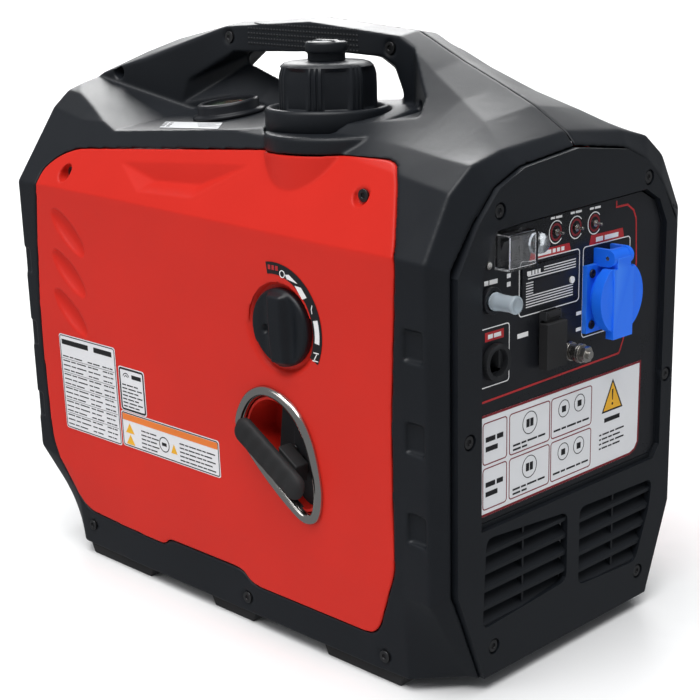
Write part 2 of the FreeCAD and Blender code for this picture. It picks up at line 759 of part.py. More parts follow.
def make_panel():
    front = size("panel_front")
    thickness = front - size("panel_back")
    outline = [
        ("Sizes.panel_left", "Sizes.panel_bottom"), (106.0, "Sizes.panel_bottom"), ("Sizes.panel_right", 134.5),
        ("Sizes.panel_right", 311.5), (103.5, 329.5), (85.5, 338.4), (-59.5, "Sizes.panel_top"),
        (-87.5, 331.5), ("Sizes.panel_left", 305.5)]
    panel = add_padded("control_panel", outline, thickness, (size("panel_back"), 0, 0), FACING_END)
    holes = [
        rod(size("socket_barrel_radius") + 0.3, (front - 10, size("socket_y"), size("socket_z")), X_AXIS, 20),
        rod(6.2, (front - 10, -92.5, 287), X_AXIS, 20),
        rod(size("stud_radius") + 0.1, (front - 10, EARTH_SPOT[0], EARTH_SPOT[1]), X_AXIS, 20),
        rod(11.3, (front - 10, -87, 243), X_AXIS, 20),
        block((front - 10, -58.2, 272.8), (front + 10, 5.2, 304.2)),
        block((front - 10, -86.2, 308.8), (front + 10, -59.8, 330.2)),
        block((front - 10, -37.2, 229.8), (front + 10, -19.8, 260.2)),
        rod(5.1, (front - 10, -43, 319), X_AXIS, 20),
        rod(2.7, (front - 10, -94, 311), X_AXIS, 20),
    ]
    for y in INDICATOR_ROW:
        holes.append(rod(size("indicator_radius") + 0.1, (front - 10, y, 323), X_AXIS, 20))
    for sy in (-1, 1):
        for sz in (-1, 1):
            spot = (front - 10, size("socket_y") + sy * 19, size("socket_z") + sz * 19)
            holes.append(rod(1.7, spot, X_AXIS, 20))
    sub_parts.remove(panel)
    panel.Label = "control_panel_blank"
    drilled = cut(panel.Shape, holes)
    add_feature("control_panel", largest(drilled))


INDICATOR_ROW = (-20.0, 3.0, 25.5)
EARTH_SPOT = (-2.5, 233.5)


def make_panel_parts():
    front = size("panel_front")
    # AC outlet: flange with a barrel behind, a sprung lid on a pin above it
    y = size("socket_y")
    z = size("socket_z")
    half = size("socket_flange") / 2
    flange = block((front + 0.05, y - half, z - half), (front + 4, y + half, z + half))
    barrel = rod(size("socket_barrel_radius"), (front - size("socket_barrel_depth"), y, z), X_AXIS,
                 size("socket_barrel_depth") + 8)
    pin = size("lid_pin_radius")
    pin_x = front + size("lid_pin_out")
    pin_z = z + size("lid_pin_up")
    pin_rod = rod(pin, (pin_x, y - 12, pin_z), Y_AXIS, 24)
    cheeks = []
    for low in (y - 12, y + 8.2):
        cheeks.append(block((front + 0.05, low, pin_z - 6.4), (pin_x, low + 3.8, pin_z + 6.4)))
        cheeks.append(rod(6.4, (pin_x, low, pin_z), Y_AXIS, 3.8))
    pocket = rod(18.5, (front - 10, y, z), X_AXIS, 30)
    screws = [rod(1.7, (front - 1, y + sy * 19, z + sz * 19), X_AXIS, 10) for sy in (-1, 1) for sz in (-1, 1)]
    body = cut(fuse([flange, barrel] + cheeks), [pocket, pin_rod] + screws)
    add_feature("socket_body", largest(body))
    add_feature("lid_pin", pin_rod)
    radius = size("lid_radius")
    below_hinge = block((front, y - 40, z - 40), (front + 40, y + 40, pin_z - 7.5))
    disc = rod(radius, (front + 9.6, y, z), X_AXIS, 8)
    dome = Part.makeSphere(180, Vector(front + 18.6 - 180, y, z))
    dome = dome.common(rod(radius - 1, (front + 17, y, z), X_AXIS, 8))
    rib = block((front + 12.2, y - 12, z - 29.7), (front + 19.0, y + 12, pin_z))
    leaf = [part.common(below_hinge) for part in (disc, dome, rib)]
    knuckle = rod(6.2, (pin_x, y - 8, pin_z), Y_AXIS, 16)
    neck = block((pin_x - 2.6, y - 8, pin_z - 8), (front + 19.0, y + 8, pin_z))
    pin_hole = rod(pin + size("running_gap"), (pin_x, y - 12, pin_z), Y_AXIS, 24)
    lid = cut(fuse(leaf + [knuckle, neck]), [pin_hole, rod(20.9, (front, y, z), X_AXIS, 12.21)])
    add_feature("socket_lid", largest(lid))
    # meter
    meter = block((front - 14, -58, 273), (front + 0.9, 5, 304))
    button_hole = rod(2.6, (front - 6, -1.4, 286), X_AXIS, 10)
    add_feature("meter", cut(meter, [button_hole]))
    add_feature("meter_button", rod(2.5, (front - 3.5, -1.4, 286), X_AXIS, 5.6))
    # rocker switch in its bezel under a clear cover
    seat = block((front - 10, -82, 311.5), (front + 3, -64, 327.5))
    pivot = size("pivot_radius")
    pivot_hole = rod(pivot + size("running_gap"), (front - 2, -83.6, 319.5), Y_AXIS, 21.2)
    add_feature("switch_bezel", cut(block((front - 12, -86, 309), (front + 2, -60, 330)), [seat, pivot_hole]))
    rocker = prism([(front - 6, -81.8, 312.5), (front - 6, -81.8, 326.5), (front + 3.4, -81.8, 326.5),
                    (front + 1.6, -81.8, 319.5), (front + 3.4, -81.8, 312.5)], Vector(0, 17.6, 0))
    rocker.rotate(Vector(front - 2, 0, 319.5), Y_AXIS, 8)
    add_feature("eco_rocker", fuse([rocker, rod(pivot, (front - 2, -83.5, 319.5), Y_AXIS, 21)]))
    shield = cut(block((front + 0.1, -87.6, 307.0), (front + 14, -57.6, 332.0)),
                 [block((front, -86.2, 308.4), (front + 12.4, -59.0, 330.6))])
    add_feature("switch_cover", shield)
    dome = Part.makeSphere(7.4, Vector(front + 3, -43, 319)).common(rod(7.4, (front + 3, -43, 319), X_AXIS, 8))
    lamp = [rod(5.0, (front - 12, -43, 319), X_AXIS, 12), rod(8.2, (front, -43, 319), X_AXIS, 3), dome]
    add_feature("switch_lamp", fuse(lamp))
    # push-to-reset breaker
    spot = (front, -92.5, 287)
    guard = tube(9.5, 6.9, (front, spot[1], spot[2]), X_AXIS, 4)
    case = tube(6.1, 3.2, (front - 22, spot[1], spot[2]), X_AXIS, 22)
    add_feature("reset_breaker", fuse([guard, case, tube(6.95, 3.2, (front, spot[1], spot[2]), X_AXIS, 0.5)]))
    boot = fuse([rod(3.1, (front - 10, spot[1], spot[2]), X_AXIS, 15),
                 rod(size("reset_radius"), (front + 4.2, spot[1], spot[2]), X_AXIS, size("reset_length") - 2)])
    add_feature("reset_button", boot)
    # low-voltage outlet
    dc = fuse([rod(11.1, (front - 24, -87, 243), X_AXIS, 24), tube(13.2, 9.6, (front, -87, 243), X_AXIS, 4.5)])
    dc = cut(dc, [block((front - 16, -92, 236), (front + 5, -82, 250))])
    add_feature("dc_socket", largest(dc))
    # USB module and its rubber cover, hinged at the top
    usb = cut(block((front - 18, -37, 230), (front + 1.5, -20, 260)),
              [block((front - 12, -34, low), (front + 3, -23, low + 5.5)) for low in (235, 249)])
    hinge = (front + 4.2, 266.0)
    stays = [block((front + 0.05, low, 263), (front + 6, low + 1.8, 269)) for low in (-37.5, -21.3)]
    bar = rod(1.2, (hinge[0], -37.5, hinge[1]), Y_AXIS, 18)
    back = block((front + 0.05, -37.5, 259), (front + 0.9, -19.5, 269))
    add_feature("usb_module", fuse([usb, back, bar] + stays))
    flap = fuse([block((front + 2.2, -40, 228), (front + 9.5, -17, 261)),
                 rod(2.9, (hinge[0], -35.4, hinge[1]), Y_AXIS, 13.8),
                 block((front + 2.2, -35.4, 260), (front + 5.4, -21.6, hinge[1]))])
    flap = cut(flap, [rod(1.25, (hinge[0], -38, hinge[1]), Y_AXIS, 20)])
    add_feature("usb_cover", largest(flap))
    lamps = [fuse([rod(size("indicator_radius"), (front - 8, y, 323), X_AXIS, 10),
                   rod(1.1, (front + 2, y, 323), X_AXIS, 5)]) for y in INDICATOR_ROW]
    lamps.append(rod(2.6, (front - 8, -94, 311), X_AXIS, 9.6))
    add_group("indicator_lamps", lamps)
    # earth terminal: stud, washers and hexagon nuts
    thread = size("stud_radius") + 0.02
    stud_foot = (front - 14, EARTH_SPOT[0], EARTH_SPOT[1])
    terminal = [rod(size("stud_radius"), stud_foot, X_AXIS, size("stud_length"))]
    corners = [(6.2 * math.cos(math.pi * i / 3), 6.2 * math.sin(math.pi * i / 3)) for i in range(6)]
    hexagon = [(EARTH_SPOT[0] + a, EARTH_SPOT[1] + b) for a, b in corners]
    hole = rod(thread, (front, EARTH_SPOT[0], EARTH_SPOT[1]), X_AXIS, 40)
    for start in (front + 4.0, front + 12.7):
        terminal.append(end_prism(hexagon, start, start + 5.0).cut(hole))
    for start in (front + 0.1, front + 2.0, front + 9.2, front + 10.9):
        terminal.append(tube(7.0, thread, (start, EARTH_SPOT[0], EARTH_SPOT[1]), X_AXIS, 1.6))
    add_group("earth_terminal", terminal)


SIDE_LABELS = ((-191.5, -112, 117.5, 203), (-109, -74.5, 150.5, 189), (-110, 15.5, 119, 150))


def make_labels():
    """Thin stickers: three on the starter side and the card on the control panel."""
    stickers = []
    tilt = math.degrees(math.atan2(skirt_width(250) - skirt_width(150), 100))
    for low_x, high_x, low_z, high_z in SIDE_LABELS:
        face = -skirt_width((low_z + high_z) / 2)
        sticker = block((low_x, face - 0.45, low_z), (high_x, face - 0.1, high_z))
        sticker.rotate(Vector((low_x + high_x) / 2, face, (low_z + high_z) / 2), X_AXIS, tilt)
        sticker.translate(Vector(0, -0.15, 0))
        stickers.append(sticker)
    card = size("panel_front")
    stickers.append(block((card + 0.05, -102.5, 133), (card + 0.4, 91, 207)))
    add_group("labels", stickers)


make_covers(casing_form)
make_end_frame()
make_exhaust_cover()
make_base()
make_filler()
make_panel()
make_panel_parts()
make_labels()


# ---------------------------------------------------------------- starter side

def make_knob():
    x = size("knob_x")
    z = size("knob_z")
    floor = -skirt_width(z) + size("dish_depth")
    radius = size("knob_radius")
    disc = rod(radius, (x, floor - 0.4 - size("knob_thickness"), z), Y_AXIS, size("knob_thickness"))
    ridge = block((x - 9, floor - 8 - size("knob_thickness"), z - radius + 2),
                  (x + 9, floor - size("knob_thickness"), z + radius - 2))
    ridge = ridge.common(rod(radius - 1, (x, floor - 40, z), Y_AXIS, 60))
    shaft = rod(6.0, (x, floor - 2, z), Y_AXIS, 26)
    bite = rod(5, (x - 20, floor - 40, z - 24), Y_AXIS, 60)
    dimple = rod(5.2, (x - 14, floor - 12, z - 2), Y_AXIS, 8)
    add_feature("run_knob", largest(cut(fuse([disc, ridge, shaft]), [bite, dimple])))
    valve = block((x - 20, floor + 14, z - 22), (x + 20, floor + 40, z + 22))
    add_feature("fuel_valve", cut(valve, [rod(6.05, (x, floor + 10, z), Y_AXIS, 16)]))


EYELET = (99, 151)
GUIDE_SCREWS = ((92.5, 185), (91.5, 158))
GUIDE_FRONT = -134.0


def make_starter():
    face = -skirt_width(150)
    outer = smooth_side_prism(RING_OUTLINE, face - 4.0, face - 0.3)
    inner = smooth_side_prism(ring_opening(RING_BAND), face - 5, face + 6)
    skirt = smooth_side_prism(ring_opening(RING_BAND - 1.7), face - 0.5, face + 3.5)
    add_feature("pocket_trim", largest(leaned(fuse([outer, skirt]).cut(inner))))
    cup = smooth_side_prism(ring_opening(RING_BAND + 0.3), face + 0.8, -112)
    cup_inside = smooth_side_prism(ring_opening(RING_BAND + 2.6), face - 5, -114.5)
    rope_hole = rod(3.6, (EYELET[0], -150, EYELET[1]), Y_AXIS, 60)
    add_feature("starter_pocket", largest(cut(leaned(cup), [leaned(cup_inside), rope_hole])))
    inside_cup = leaned(smooth_side_prism(ring_opening(RING_BAND + 3.0), -160, -90))
    guide_outline = [(78, 100), (74, 150), (82, 215), (140, 215), (140, 100)]
    guide = side_prism(guide_outline, GUIDE_FRONT, -117).common(inside_cup)
    guide_bores = [rod(1.9, (x, -140, z), Y_AXIS, 13) for x, z in GUIDE_SCREWS]
    add_feature("rope_guide", largest(cut(guide, [rope_hole] + guide_bores)))
    # grip: long rounded bar with a lug behind it that takes the rope's knot
    half_length = 30.0
    radius = 10.5
    ends = [rod(radius, (side * half_length, 0, 0), Y_AXIS, 10.0) for side in (-1, 1)]
    bar = fuse([block((-half_length, 0, -radius), (half_length, 10.0, radius))] + ends)
    bar.rotate(Vector(0, 0, 0), Y_AXIS, 30.9)
    bar.translate(Vector(84.5, -159.2, 154.5))
    lug_corners = [(90, -149.5, 142), (90, -149.5, 164), (109, -149.5, 152), (107, -149.5, 138)]
    lug = prism(lug_corners, Vector(0, 12.5, 0))
    stem = rod(5.5, (EYELET[0], -138, EYELET[1]), Y_AXIS, 2.5)
    add_feature("starter_grip", largest(fuse([bar, lug, stem])))
    # pulley, rope and return spring in a housing on the crank axis
    base = (size("crank_x"), -108, size("crank_z"))
    add_turned("starter_housing", [
        (0.0, 0.0), ("Sizes.starter_radius", 0.0),
        ("Sizes.starter_radius", 22.0), ("Sizes.starter_radius - 3", 22.0),
        ("Sizes.starter_radius - 3", 3.0), (10.0, 3.0), (10.0, 16.0), (0.0, 16.0)], base, Y_AXIS)
    hub = size("journal_radius") + size("running_gap")
    add_turned("starter_pulley", [
        (hub, 6.0), ("Sizes.pulley_radius", 6.0), ("Sizes.pulley_radius", 7.5), ("Sizes.pulley_groove", 7.5),
        ("Sizes.pulley_groove", 13.5), ("Sizes.pulley_radius", 13.5),
        ("Sizes.pulley_radius", 15.0), (hub, 15.0)],
        base, Y_AXIS)
    rope_inner = "Sizes.pulley_groove + 0.1"
    add_turned("starter_rope", [(rope_inner, 7.7), (53.5, 7.7), (53.5, 13.3), (rope_inner, 13.3)], base, Y_AXIS)
    add_turned("recoil_spring", [(12.0, 3.4), (40.0, 3.4), (40.0, 5.6), (12.0, 5.6)], base, Y_AXIS)


# ---------------------------------------------------------------- engine and alternator

def make_engine():
    x = size("crank_x")
    y = size("engine_y")
    z = size("crank_z")
    journal = size("journal_radius")
    gap = size("running_gap")
    throw = size("crank_throw")
    bore = size("bore_radius")
    # rotating group
    shaft = [rod(journal, (x, -88, z), Y_AXIS, 88 + y - 20), rod(journal, (x, y + 12, z), Y_AXIS, 34)]
    pin = rod(8, (x, y - 12, z - throw), Y_AXIS, 24)
    webs = []
    for start in (y - 20, y + 12):
        disc = rod(34, (x, start, z), Y_AXIS, 8)
        webs.append(disc.cut(block((x - 40, start - 1, z + 12), (x + 40, start + 9, z + 40))))
    add_feature("crankshaft", largest(fuse(shaft + webs + [pin])))
    add_turned("flywheel", [(10.0, 0.0), ("Sizes.flywheel_radius", 0.0), ("Sizes.flywheel_radius", 26.0),
                            (57.0, 26.0), (57.0, 4.0), (10.0, 4.0)], (x, -66, z), Y_AXIS)
    tooth = block((x + 34, -60, z - 5), (x + 55, -42, z + 5))
    teeth = [tooth.rotated(Vector(x, 0, z), Y_AXIS, 30 * i) for i in range(12)]
    yoke = [tube(36, 18, (x, -60, z), Y_AXIS, 18), tube(18.5, 14, (x, -60, z), Y_AXIS, 25.9)]
    add_feature("stator", largest(fuse(yoke + teeth)))
    blade = block((x + 40, -84, z - 1.2), (x + size("fan_radius"), -69, z + 1.2))
    blades = [blade.rotated(Vector(x, 0, z), Y_AXIS, 30 * i) for i in range(12)]
    hub = tube(size("fan_radius"), 10.0, (x, -69, z), Y_AXIS, 2.9)
    add_feature("cooling_fan", largest(fuse([hub] + blades)))
    add_turned("fan_shroud", [("Sizes.shroud_radius - 3", 0.0), ("Sizes.shroud_radius", 0.0),
                              ("Sizes.shroud_radius", 54.0), ("Sizes.shroud_radius - 3", 54.0)],
              (x, -84, z), Y_AXIS)
    # crankcase with its sump, bored for the shaft, and open to the cylinder
    spigot = tube(23, journal + gap, (x, -34, z), Y_AXIS, 8)
    case = fuse([block((x - 50, -28, 58), (x + 50, y + 50, z + 45)), spigot])
    cavity = rod(38, (x, y - 24, z), Y_AXIS, 48)
    mouth = rod(bore + 4.2, (x - 52, y, z), X_AXIS, 20)
    shaft_bore = rod(journal + gap, (x, -40, z), Y_AXIS, 86 + y)
    add_feature("crankcase", largest(cut(case, [cavity, mouth, shaft_bore])))
    # cylinder, fins, head, valve cover, plug
    sleeve = tube(bore + 6, bore + gap, (-95, y, z), X_AXIS, 90 - 0.05)
    collar = tube(bore + 4, bore + gap, (-5.1, y, z), X_AXIS, 8)
    core = rod(bore + 5, (-100, y, z), X_AXIS, 100)
    fins = [block((-92 + 11 * i, y - 46, z - 46), (-89 + 11 * i, y + 46, z + 46)).cut(core) for i in range(8)]
    deck = block((-14, y - 36, z - 36), (-5.1, y + 36, z + 36)).cut(core)
    add_feature("cylinder", largest(fuse([sleeve, collar, deck] + fins)))
    ring_grooves = [tube(bore + 1, bore - 2, (-76 + 4 * i, y, z), X_AXIS, 1.5) for i in range(3)]
    skirt = rod(bore - 4, (-73, y, z), X_AXIS, 40)
    piston = cut(rod(bore - 0.01, (-78, y, z), X_AXIS, 34), [skirt] + ring_grooves)
    add_feature("piston", largest(piston))
    chamber = rod(bore - 4, (-103, y, z), X_AXIS, 10)
    plug_hole = rod(7, (-112, y, z + 10), Z_AXIS, 40)
    head = cut(block((-125, y - 42, z - 42), (-95.05, y + 42, z + 42)), [chamber, plug_hole])
    add_feature("cylinder_head", largest(head))
    add_box("valve_cover", 18.0, 70.0, 70.0, (-143.1, y - 35, z - 35), 6.0)
    plug = fuse([rod(6.9, (-112, y, z + 12), Z_AXIS, 34), rod(9, (-112, y, z + 42.1), Z_AXIS, 6),
                 rod(10, (-112, y, z + 48), Z_AXIS, 26), rod(5, (-112, y, z + 69), X_AXIS, 26)])
    add_feature("spark_plug", plug)
    mounts = [rod(size("mount_radius"), (mx, my, 14.05), Z_AXIS, size("mount_height") - 0.1)
              for mx in (x - 34, x + 34) for my in (-10, y + 34)]
    add_group("engine_mounts", mounts)


# ---------------------------------------------------------------- boxes inside

def make_inside():
    tank_x = -188.0
    tank_z = 284.0
    tank = add_box("fuel_tank_body", "Sizes.tank_length", "Sizes.tank_width", "Sizes.tank_height",
                   (tank_x, -size("tank_width") / 2, tank_z), 12.0)
    sub_parts.remove(tank)
    filler = (size("filler_x"), size("filler_y"))
    gauge = (size("gauge_x"), size("gauge_y"))
    top = tank_z + size("tank_height")
    neck_top = size("cap_bottom") + size("cap_height") - size("cap_wall") - 2.8
    neck = tube(size("neck_radius"), size("neck_bore"), (filler[0], filler[1], top - 6), Z_AXIS,
                neck_top - top + 6)
    room = block((tank_x + 3, -size("tank_width") / 2 + 3, tank_z + 3),
                 (tank_x + size("tank_length") - 3, size("tank_width") / 2 - 3, top - 3))
    room = room.makeFillet(9.0, room.Edges)
    shell = fuse([tank.Shape.cut(room), neck])
    shell = cut(shell, [rod(size("neck_bore"), (filler[0], filler[1], top - 10), Z_AXIS, 20),
                        rod(6, (gauge[0], gauge[1], top - 10), Z_AXIS, 20)])
    add_feature("fuel_tank", largest(shell))
    length = size("inverter_length")
    half = size("inverter_width") / 2
    height = size("inverter_height")
    core = block((176, -half, 34), (176 + length - 12, half, 34 + height))
    ribs = [block((176 + length - 12, -half + 9 * i, 34), (176 + length, -half + 9 * i + 2.5, 34 + height))
            for i in range(20)]
    add_feature("inverter_module", largest(fuse([core] + ribs)))
    can = add_box("muffler_can", "Sizes.muffler_length", "Sizes.muffler_width", "Sizes.muffler_height",
                  (-226, -70, 95), 14.0)
    sub_parts.remove(can)
    outlet = tube(14, 11, (-245.5, MUFFLER_OUTLET[0], MUFFLER_OUTLET[1]), X_AXIS, 21)
    outlet_bore = rod(11, (-246, MUFFLER_OUTLET[0], MUFFLER_OUTLET[1]), X_AXIS, 24)
    wall = 2.0
    low = Vector(-226 + wall, -70 + wall, 95 + wall)
    hollow = Part.makeBox(size("muffler_length") - 2 * wall, size("muffler_width") - 2 * wall,
                          size("muffler_height") - 2 * wall, low)
    hollow = hollow.makeFillet(12.0, hollow.Edges)
    add_feature("muffler", cut(fuse([can.Shape.cut(hollow), outlet]), [outlet_bore]))
    add_box("air_cleaner", "Sizes.cleaner_length", "Sizes.cleaner_width", "Sizes.cleaner_height",
            (-10, 92, 178), 8.0)
    carb = fuse([rod(17, (-50, 70, 215), Y_AXIS, 20), block((-66, 72, 176), (-34, 92, 204)),
                 rod(11, (-35, 80, 215), X_AXIS, 24.9)])
    add_feature("carburettor", largest(carb))


# ---------------------------------------------------------------- fasteners

def screw(seat, axis, head_radius, head_height, shank):
    """Pan-head screw with its head resting on a seat and facing along the axis."""
    seat = Vector(*seat)
    socket = rod(head_radius * 0.45, seat + axis * (head_height - 0.8), axis, 2)
    head = rod(head_radius, seat, axis, head_height)
    body = fuse([head, rod(head_radius * 0.5, seat - axis * shank, axis, shank)])
    return body.cut(socket)


def make_screws():
    outward = Vector(0, -1, 0)
    frame_seat = size("end_frame_front") - FRAME_SEAT
    screws = [screw((frame_seat, y, z), X_AXIS, 4.6, 1.8, 6) for y, z in FRAME_SCREWS]
    screws += [screw((x, seat, z), outward, 4.6, 2.0, 8) for x, seat, z in COVER_SCREWS + SIDE_SCREWS]
    half = size("socket_flange") * 0.38
    flange = size("panel_front") + 4
    y = size("socket_y")
    z = size("socket_z")
    corners = [(a, b) for a in (-1, 1) for b in (-1, 1)]
    screws += [screw((flange, y + a * half, z + b * half), X_AXIS, 3.2, 1.2, 8) for a, b in corners]
    screws += [screw((x, GUIDE_FRONT, z), outward, 3.6, 1.2, 6) for x, z in GUIDE_SCREWS]
    add_group("case_screws", screws)


def finish():
    doc.recompute()
    problems = []
    for obj in doc.Objects:
        if "Invalid" in obj.State or "Error" in obj.State:
            problems.append("%s state %s" % (obj.Label, obj.State))
    for obj in sub_parts:
        if obj.Shape.isNull() or not obj.Shape.isValid() or not obj.Shape.Solids:
            problems.append("%s shape" % obj.Label)
    if problems:
        raise RuntimeError("; ".join(problems))
    whole = FreeCAD.BoundBox()
    for obj in sub_parts:
        whole.add(obj.Shape.optimalBoundingBox(False, False))
    middle = whole.Center
    shift = Placement(Vector(-middle.x, -middle.y, -whole.ZMin), Rotation())
    os.makedirs("parts", exist_ok=True)
    for obj in sub_parts:
        obj.Placement = shift.multiply(obj.Placement)
        obj.Shape.exportStep("parts/%s.step" % obj.Label)
    print("size %.2f x %.2f x %.2f" % (whole.XLength, whole.YLength, whole.ZLength))
    print("shift %.3f %.3f %.3f" % (-middle.x, -middle.y, -whole.ZMin))
    print("%d sub-parts" % len(sub_parts))


make_knob()
make_starter()
make_engine()
make_inside()
make_screws()
finish()
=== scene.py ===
import bmesh
import bpy
import json
import math
from mathutils import Matrix, Vector
from mathutils.bvhtree import BVHTree

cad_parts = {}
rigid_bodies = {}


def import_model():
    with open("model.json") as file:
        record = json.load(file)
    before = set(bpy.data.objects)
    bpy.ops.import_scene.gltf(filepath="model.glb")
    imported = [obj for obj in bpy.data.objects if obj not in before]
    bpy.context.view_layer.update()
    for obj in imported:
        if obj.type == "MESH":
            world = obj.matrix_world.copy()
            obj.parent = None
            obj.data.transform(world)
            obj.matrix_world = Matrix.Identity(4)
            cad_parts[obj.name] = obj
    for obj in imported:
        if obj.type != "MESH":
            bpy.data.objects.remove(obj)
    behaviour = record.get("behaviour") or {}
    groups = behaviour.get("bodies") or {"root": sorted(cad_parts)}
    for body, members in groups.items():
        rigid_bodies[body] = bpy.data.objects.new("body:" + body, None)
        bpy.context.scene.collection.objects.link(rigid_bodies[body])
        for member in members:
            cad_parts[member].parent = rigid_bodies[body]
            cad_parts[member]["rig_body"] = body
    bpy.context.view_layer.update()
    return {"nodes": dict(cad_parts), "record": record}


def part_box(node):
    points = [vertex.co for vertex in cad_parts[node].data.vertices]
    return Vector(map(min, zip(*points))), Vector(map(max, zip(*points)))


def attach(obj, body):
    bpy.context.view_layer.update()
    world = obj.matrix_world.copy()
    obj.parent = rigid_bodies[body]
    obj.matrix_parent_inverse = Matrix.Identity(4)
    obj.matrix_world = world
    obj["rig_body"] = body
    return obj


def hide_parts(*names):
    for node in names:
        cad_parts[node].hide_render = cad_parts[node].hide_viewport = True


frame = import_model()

# Inverter generator. Lengths below are millimetres from the casing's middle plane, its
# lengthwise middle and the ground; at() turns them into the frame's metres.

MM = 0.001
ORIGIN = Vector((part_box("end_frame")[1].x - 247 * MM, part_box("front_shell")[1].y + 0.05 * MM, 0))
PANEL = 243.0
NODES = frame["nodes"]


def at(x, y, z):
    return ORIGIN + Vector((x, y, z)) * MM


# ---------------------------------------------------------------- materials

def node(tree, kind, **values):
    made = tree.nodes.new(kind)
    for key, value in values.items():
        setattr(made, key, value)
    return made


def colour_mix(tree, factor, first, second):
    """Colour mix of two sockets or colours by a factor socket."""
    mix = node(tree, "ShaderNodeMix", data_type="RGBA")
    tree.links.new(factor, mix.inputs[0])
    for index, value in ((6, first), (7, second)):
        if isinstance(value, bpy.types.NodeSocket):
            tree.links.new(value, mix.inputs[index])
        else:
            mix.inputs[index].default_value = (*value, 1)
    return mix.outputs[2]


def spread(tree, source, low, high, from_low=0.3, from_high=0.7):
    """Map a noise socket onto low..high."""
    mapped = node(tree, "ShaderNodeMapRange")
    mapped.inputs[1].default_value = from_low
    mapped.inputs[2].default_value = from_high
    mapped.inputs[3].default_value = low
    mapped.inputs[4].default_value = high
    tree.links.new(source, mapped.inputs[0])
    return mapped.outputs[0]


def surface(name, colour, rough, metal=0.0, grain=900.0, bump=0.15, depth=0.15, tone=0.12, wear=None,
            coat=0.0, clear=0.0, blotch=14.0, streak=None, specular=0.3):
    """Procedural finish: uneven tone, fine grain or brushing, worn edges and uneven gloss."""
    made = bpy.data.materials.new(name)
    made.use_nodes = True
    tree = made.node_tree
    shader = tree.nodes["Principled BSDF"]
    place = node(tree, "ShaderNodeTexCoord").outputs["Object"]
    broad = node(tree, "ShaderNodeTexNoise")
    broad.inputs["Scale"].default_value = blotch
    broad.inputs["Detail"].default_value = 5
    tree.links.new(place, broad.inputs["Vector"])
    fine = node(tree, "ShaderNodeTexNoise")
    fine.inputs["Scale"].default_value = grain
    fine.inputs["Detail"].default_value = 3
    source = place
    if streak:
        stretch = node(tree, "ShaderNodeMapping")
        stretch.inputs["Scale"].default_value = streak
        tree.links.new(place, stretch.inputs["Vector"])
        source = stretch.outputs[0]
    tree.links.new(source, fine.inputs["Vector"])
    dark = tuple(c * (1 - tone) for c in colour)
    light = tuple(min(1.0, c * (1 + tone)) for c in colour)
    shade = colour_mix(tree, spread(tree, broad.outputs["Fac"], 0, 1), dark, light)
    if wear:
        edge = node(tree, "ShaderNodeNewGeometry").outputs["Pointiness"]
        shade = colour_mix(tree, spread(tree, edge, 0, 0.6, 0.53, 0.62), shade, wear)
    tree.links.new(shade, shader.inputs["Base Color"])
    gloss = node(tree, "ShaderNodeMath", operation="ADD")
    tree.links.new(spread(tree, broad.outputs["Fac"], -0.04, 0.05), gloss.inputs[0])
    tree.links.new(spread(tree, fine.outputs["Fac"], rough - 0.03, rough + 0.03), gloss.inputs[1])
    tree.links.new(gloss.outputs[0], shader.inputs["Roughness"])
    relief = node(tree, "ShaderNodeBump")
    relief.inputs["Strength"].default_value = bump
    relief.inputs["Distance"].default_value = depth * MM
    tree.links.new(fine.outputs["Fac"], relief.inputs["Height"])
    tree.links.new(relief.outputs[0], shader.inputs["Normal"])
    shader.inputs["Metallic"].default_value = metal
    shader.inputs["Specular IOR Level"].default_value = specular
    shader.inputs["Coat Weight"].default_value = coat
    shader.inputs["Coat Roughness"].default_value = 0.12
    shader.inputs["Transmission Weight"].default_value = clear
    shader.inputs["IOR"].default_value = 1.46
    return made


SHELL = surface("shell_black", (0.0085, 0.0105, 0.014), 0.41, grain=1500, bump=0.5, depth=0.22, tone=0.12,
                specular=0.4)
RED = surface("cover_red", (0.60, 0.020, 0.011), 0.5, grain=900, bump=0.12, depth=0.10, tone=0.03, coat=0.03,
              specular=0.2)
CHROME = surface("trim_chrome", (0.56, 0.54, 0.51), 0.12, metal=1.0, grain=300, bump=0.03, tone=0.04)
GLOSS = surface("panel_black", (0.012, 0.013, 0.016), 0.30, grain=1200, bump=0.12, tone=0.2)
MATT = surface("fitting_black", (0.016, 0.017, 0.019), 0.50, grain=1300, bump=0.3, tone=0.2,
               wear=(0.045, 0.047, 0.05))
RUBBER = surface("rubber_black", (0.020, 0.020, 0.021), 0.62, grain=900, bump=0.3, tone=0.25,
                 wear=(0.05, 0.05, 0.05))
BLUE = surface("outlet_blue", (0.012, 0.16, 0.92), 0.33, grain=1000, bump=0.08, tone=0.06,
               wear=(0.06, 0.28, 1.0))
ZINC = surface("zinc_plate", (0.55, 0.53, 0.50), 0.28, metal=1.0, grain=600, bump=0.2, tone=0.2,
               streak=(1, 6, 6))
DARK_STEEL = surface("black_screw", (0.05, 0.05, 0.052), 0.33, metal=0.9, grain=900, bump=0.2, tone=0.3,
                     wear=(0.3, 0.3, 0.3))
ALLOY = surface("cast_alloy", (0.42, 0.43, 0.44), 0.48, metal=1.0, grain=500, bump=0.5, tone=0.15)
IRON = surface("machined_iron", (0.12, 0.12, 0.125), 0.42, metal=0.9, grain=400, bump=0.3, tone=0.25,
               wear=(0.3, 0.29, 0.28))
WINDING = surface("wound_copper", (0.42, 0.17, 0.06), 0.4, metal=0.8, grain=900, bump=0.5, streak=(1, 8, 1))
TANK = surface("tank_plastic", (0.03, 0.03, 0.033), 0.5, grain=600, bump=0.2)
ROPE = surface("rope_weave", (0.03, 0.03, 0.03), 0.85, grain=1500, bump=0.8, depth=0.4, streak=(1, 5, 1))
CLEAR = surface("clear_moulding", (0.80, 0.84, 0.88), 0.12, grain=500, bump=0.05, clear=0.92, tone=0.04)
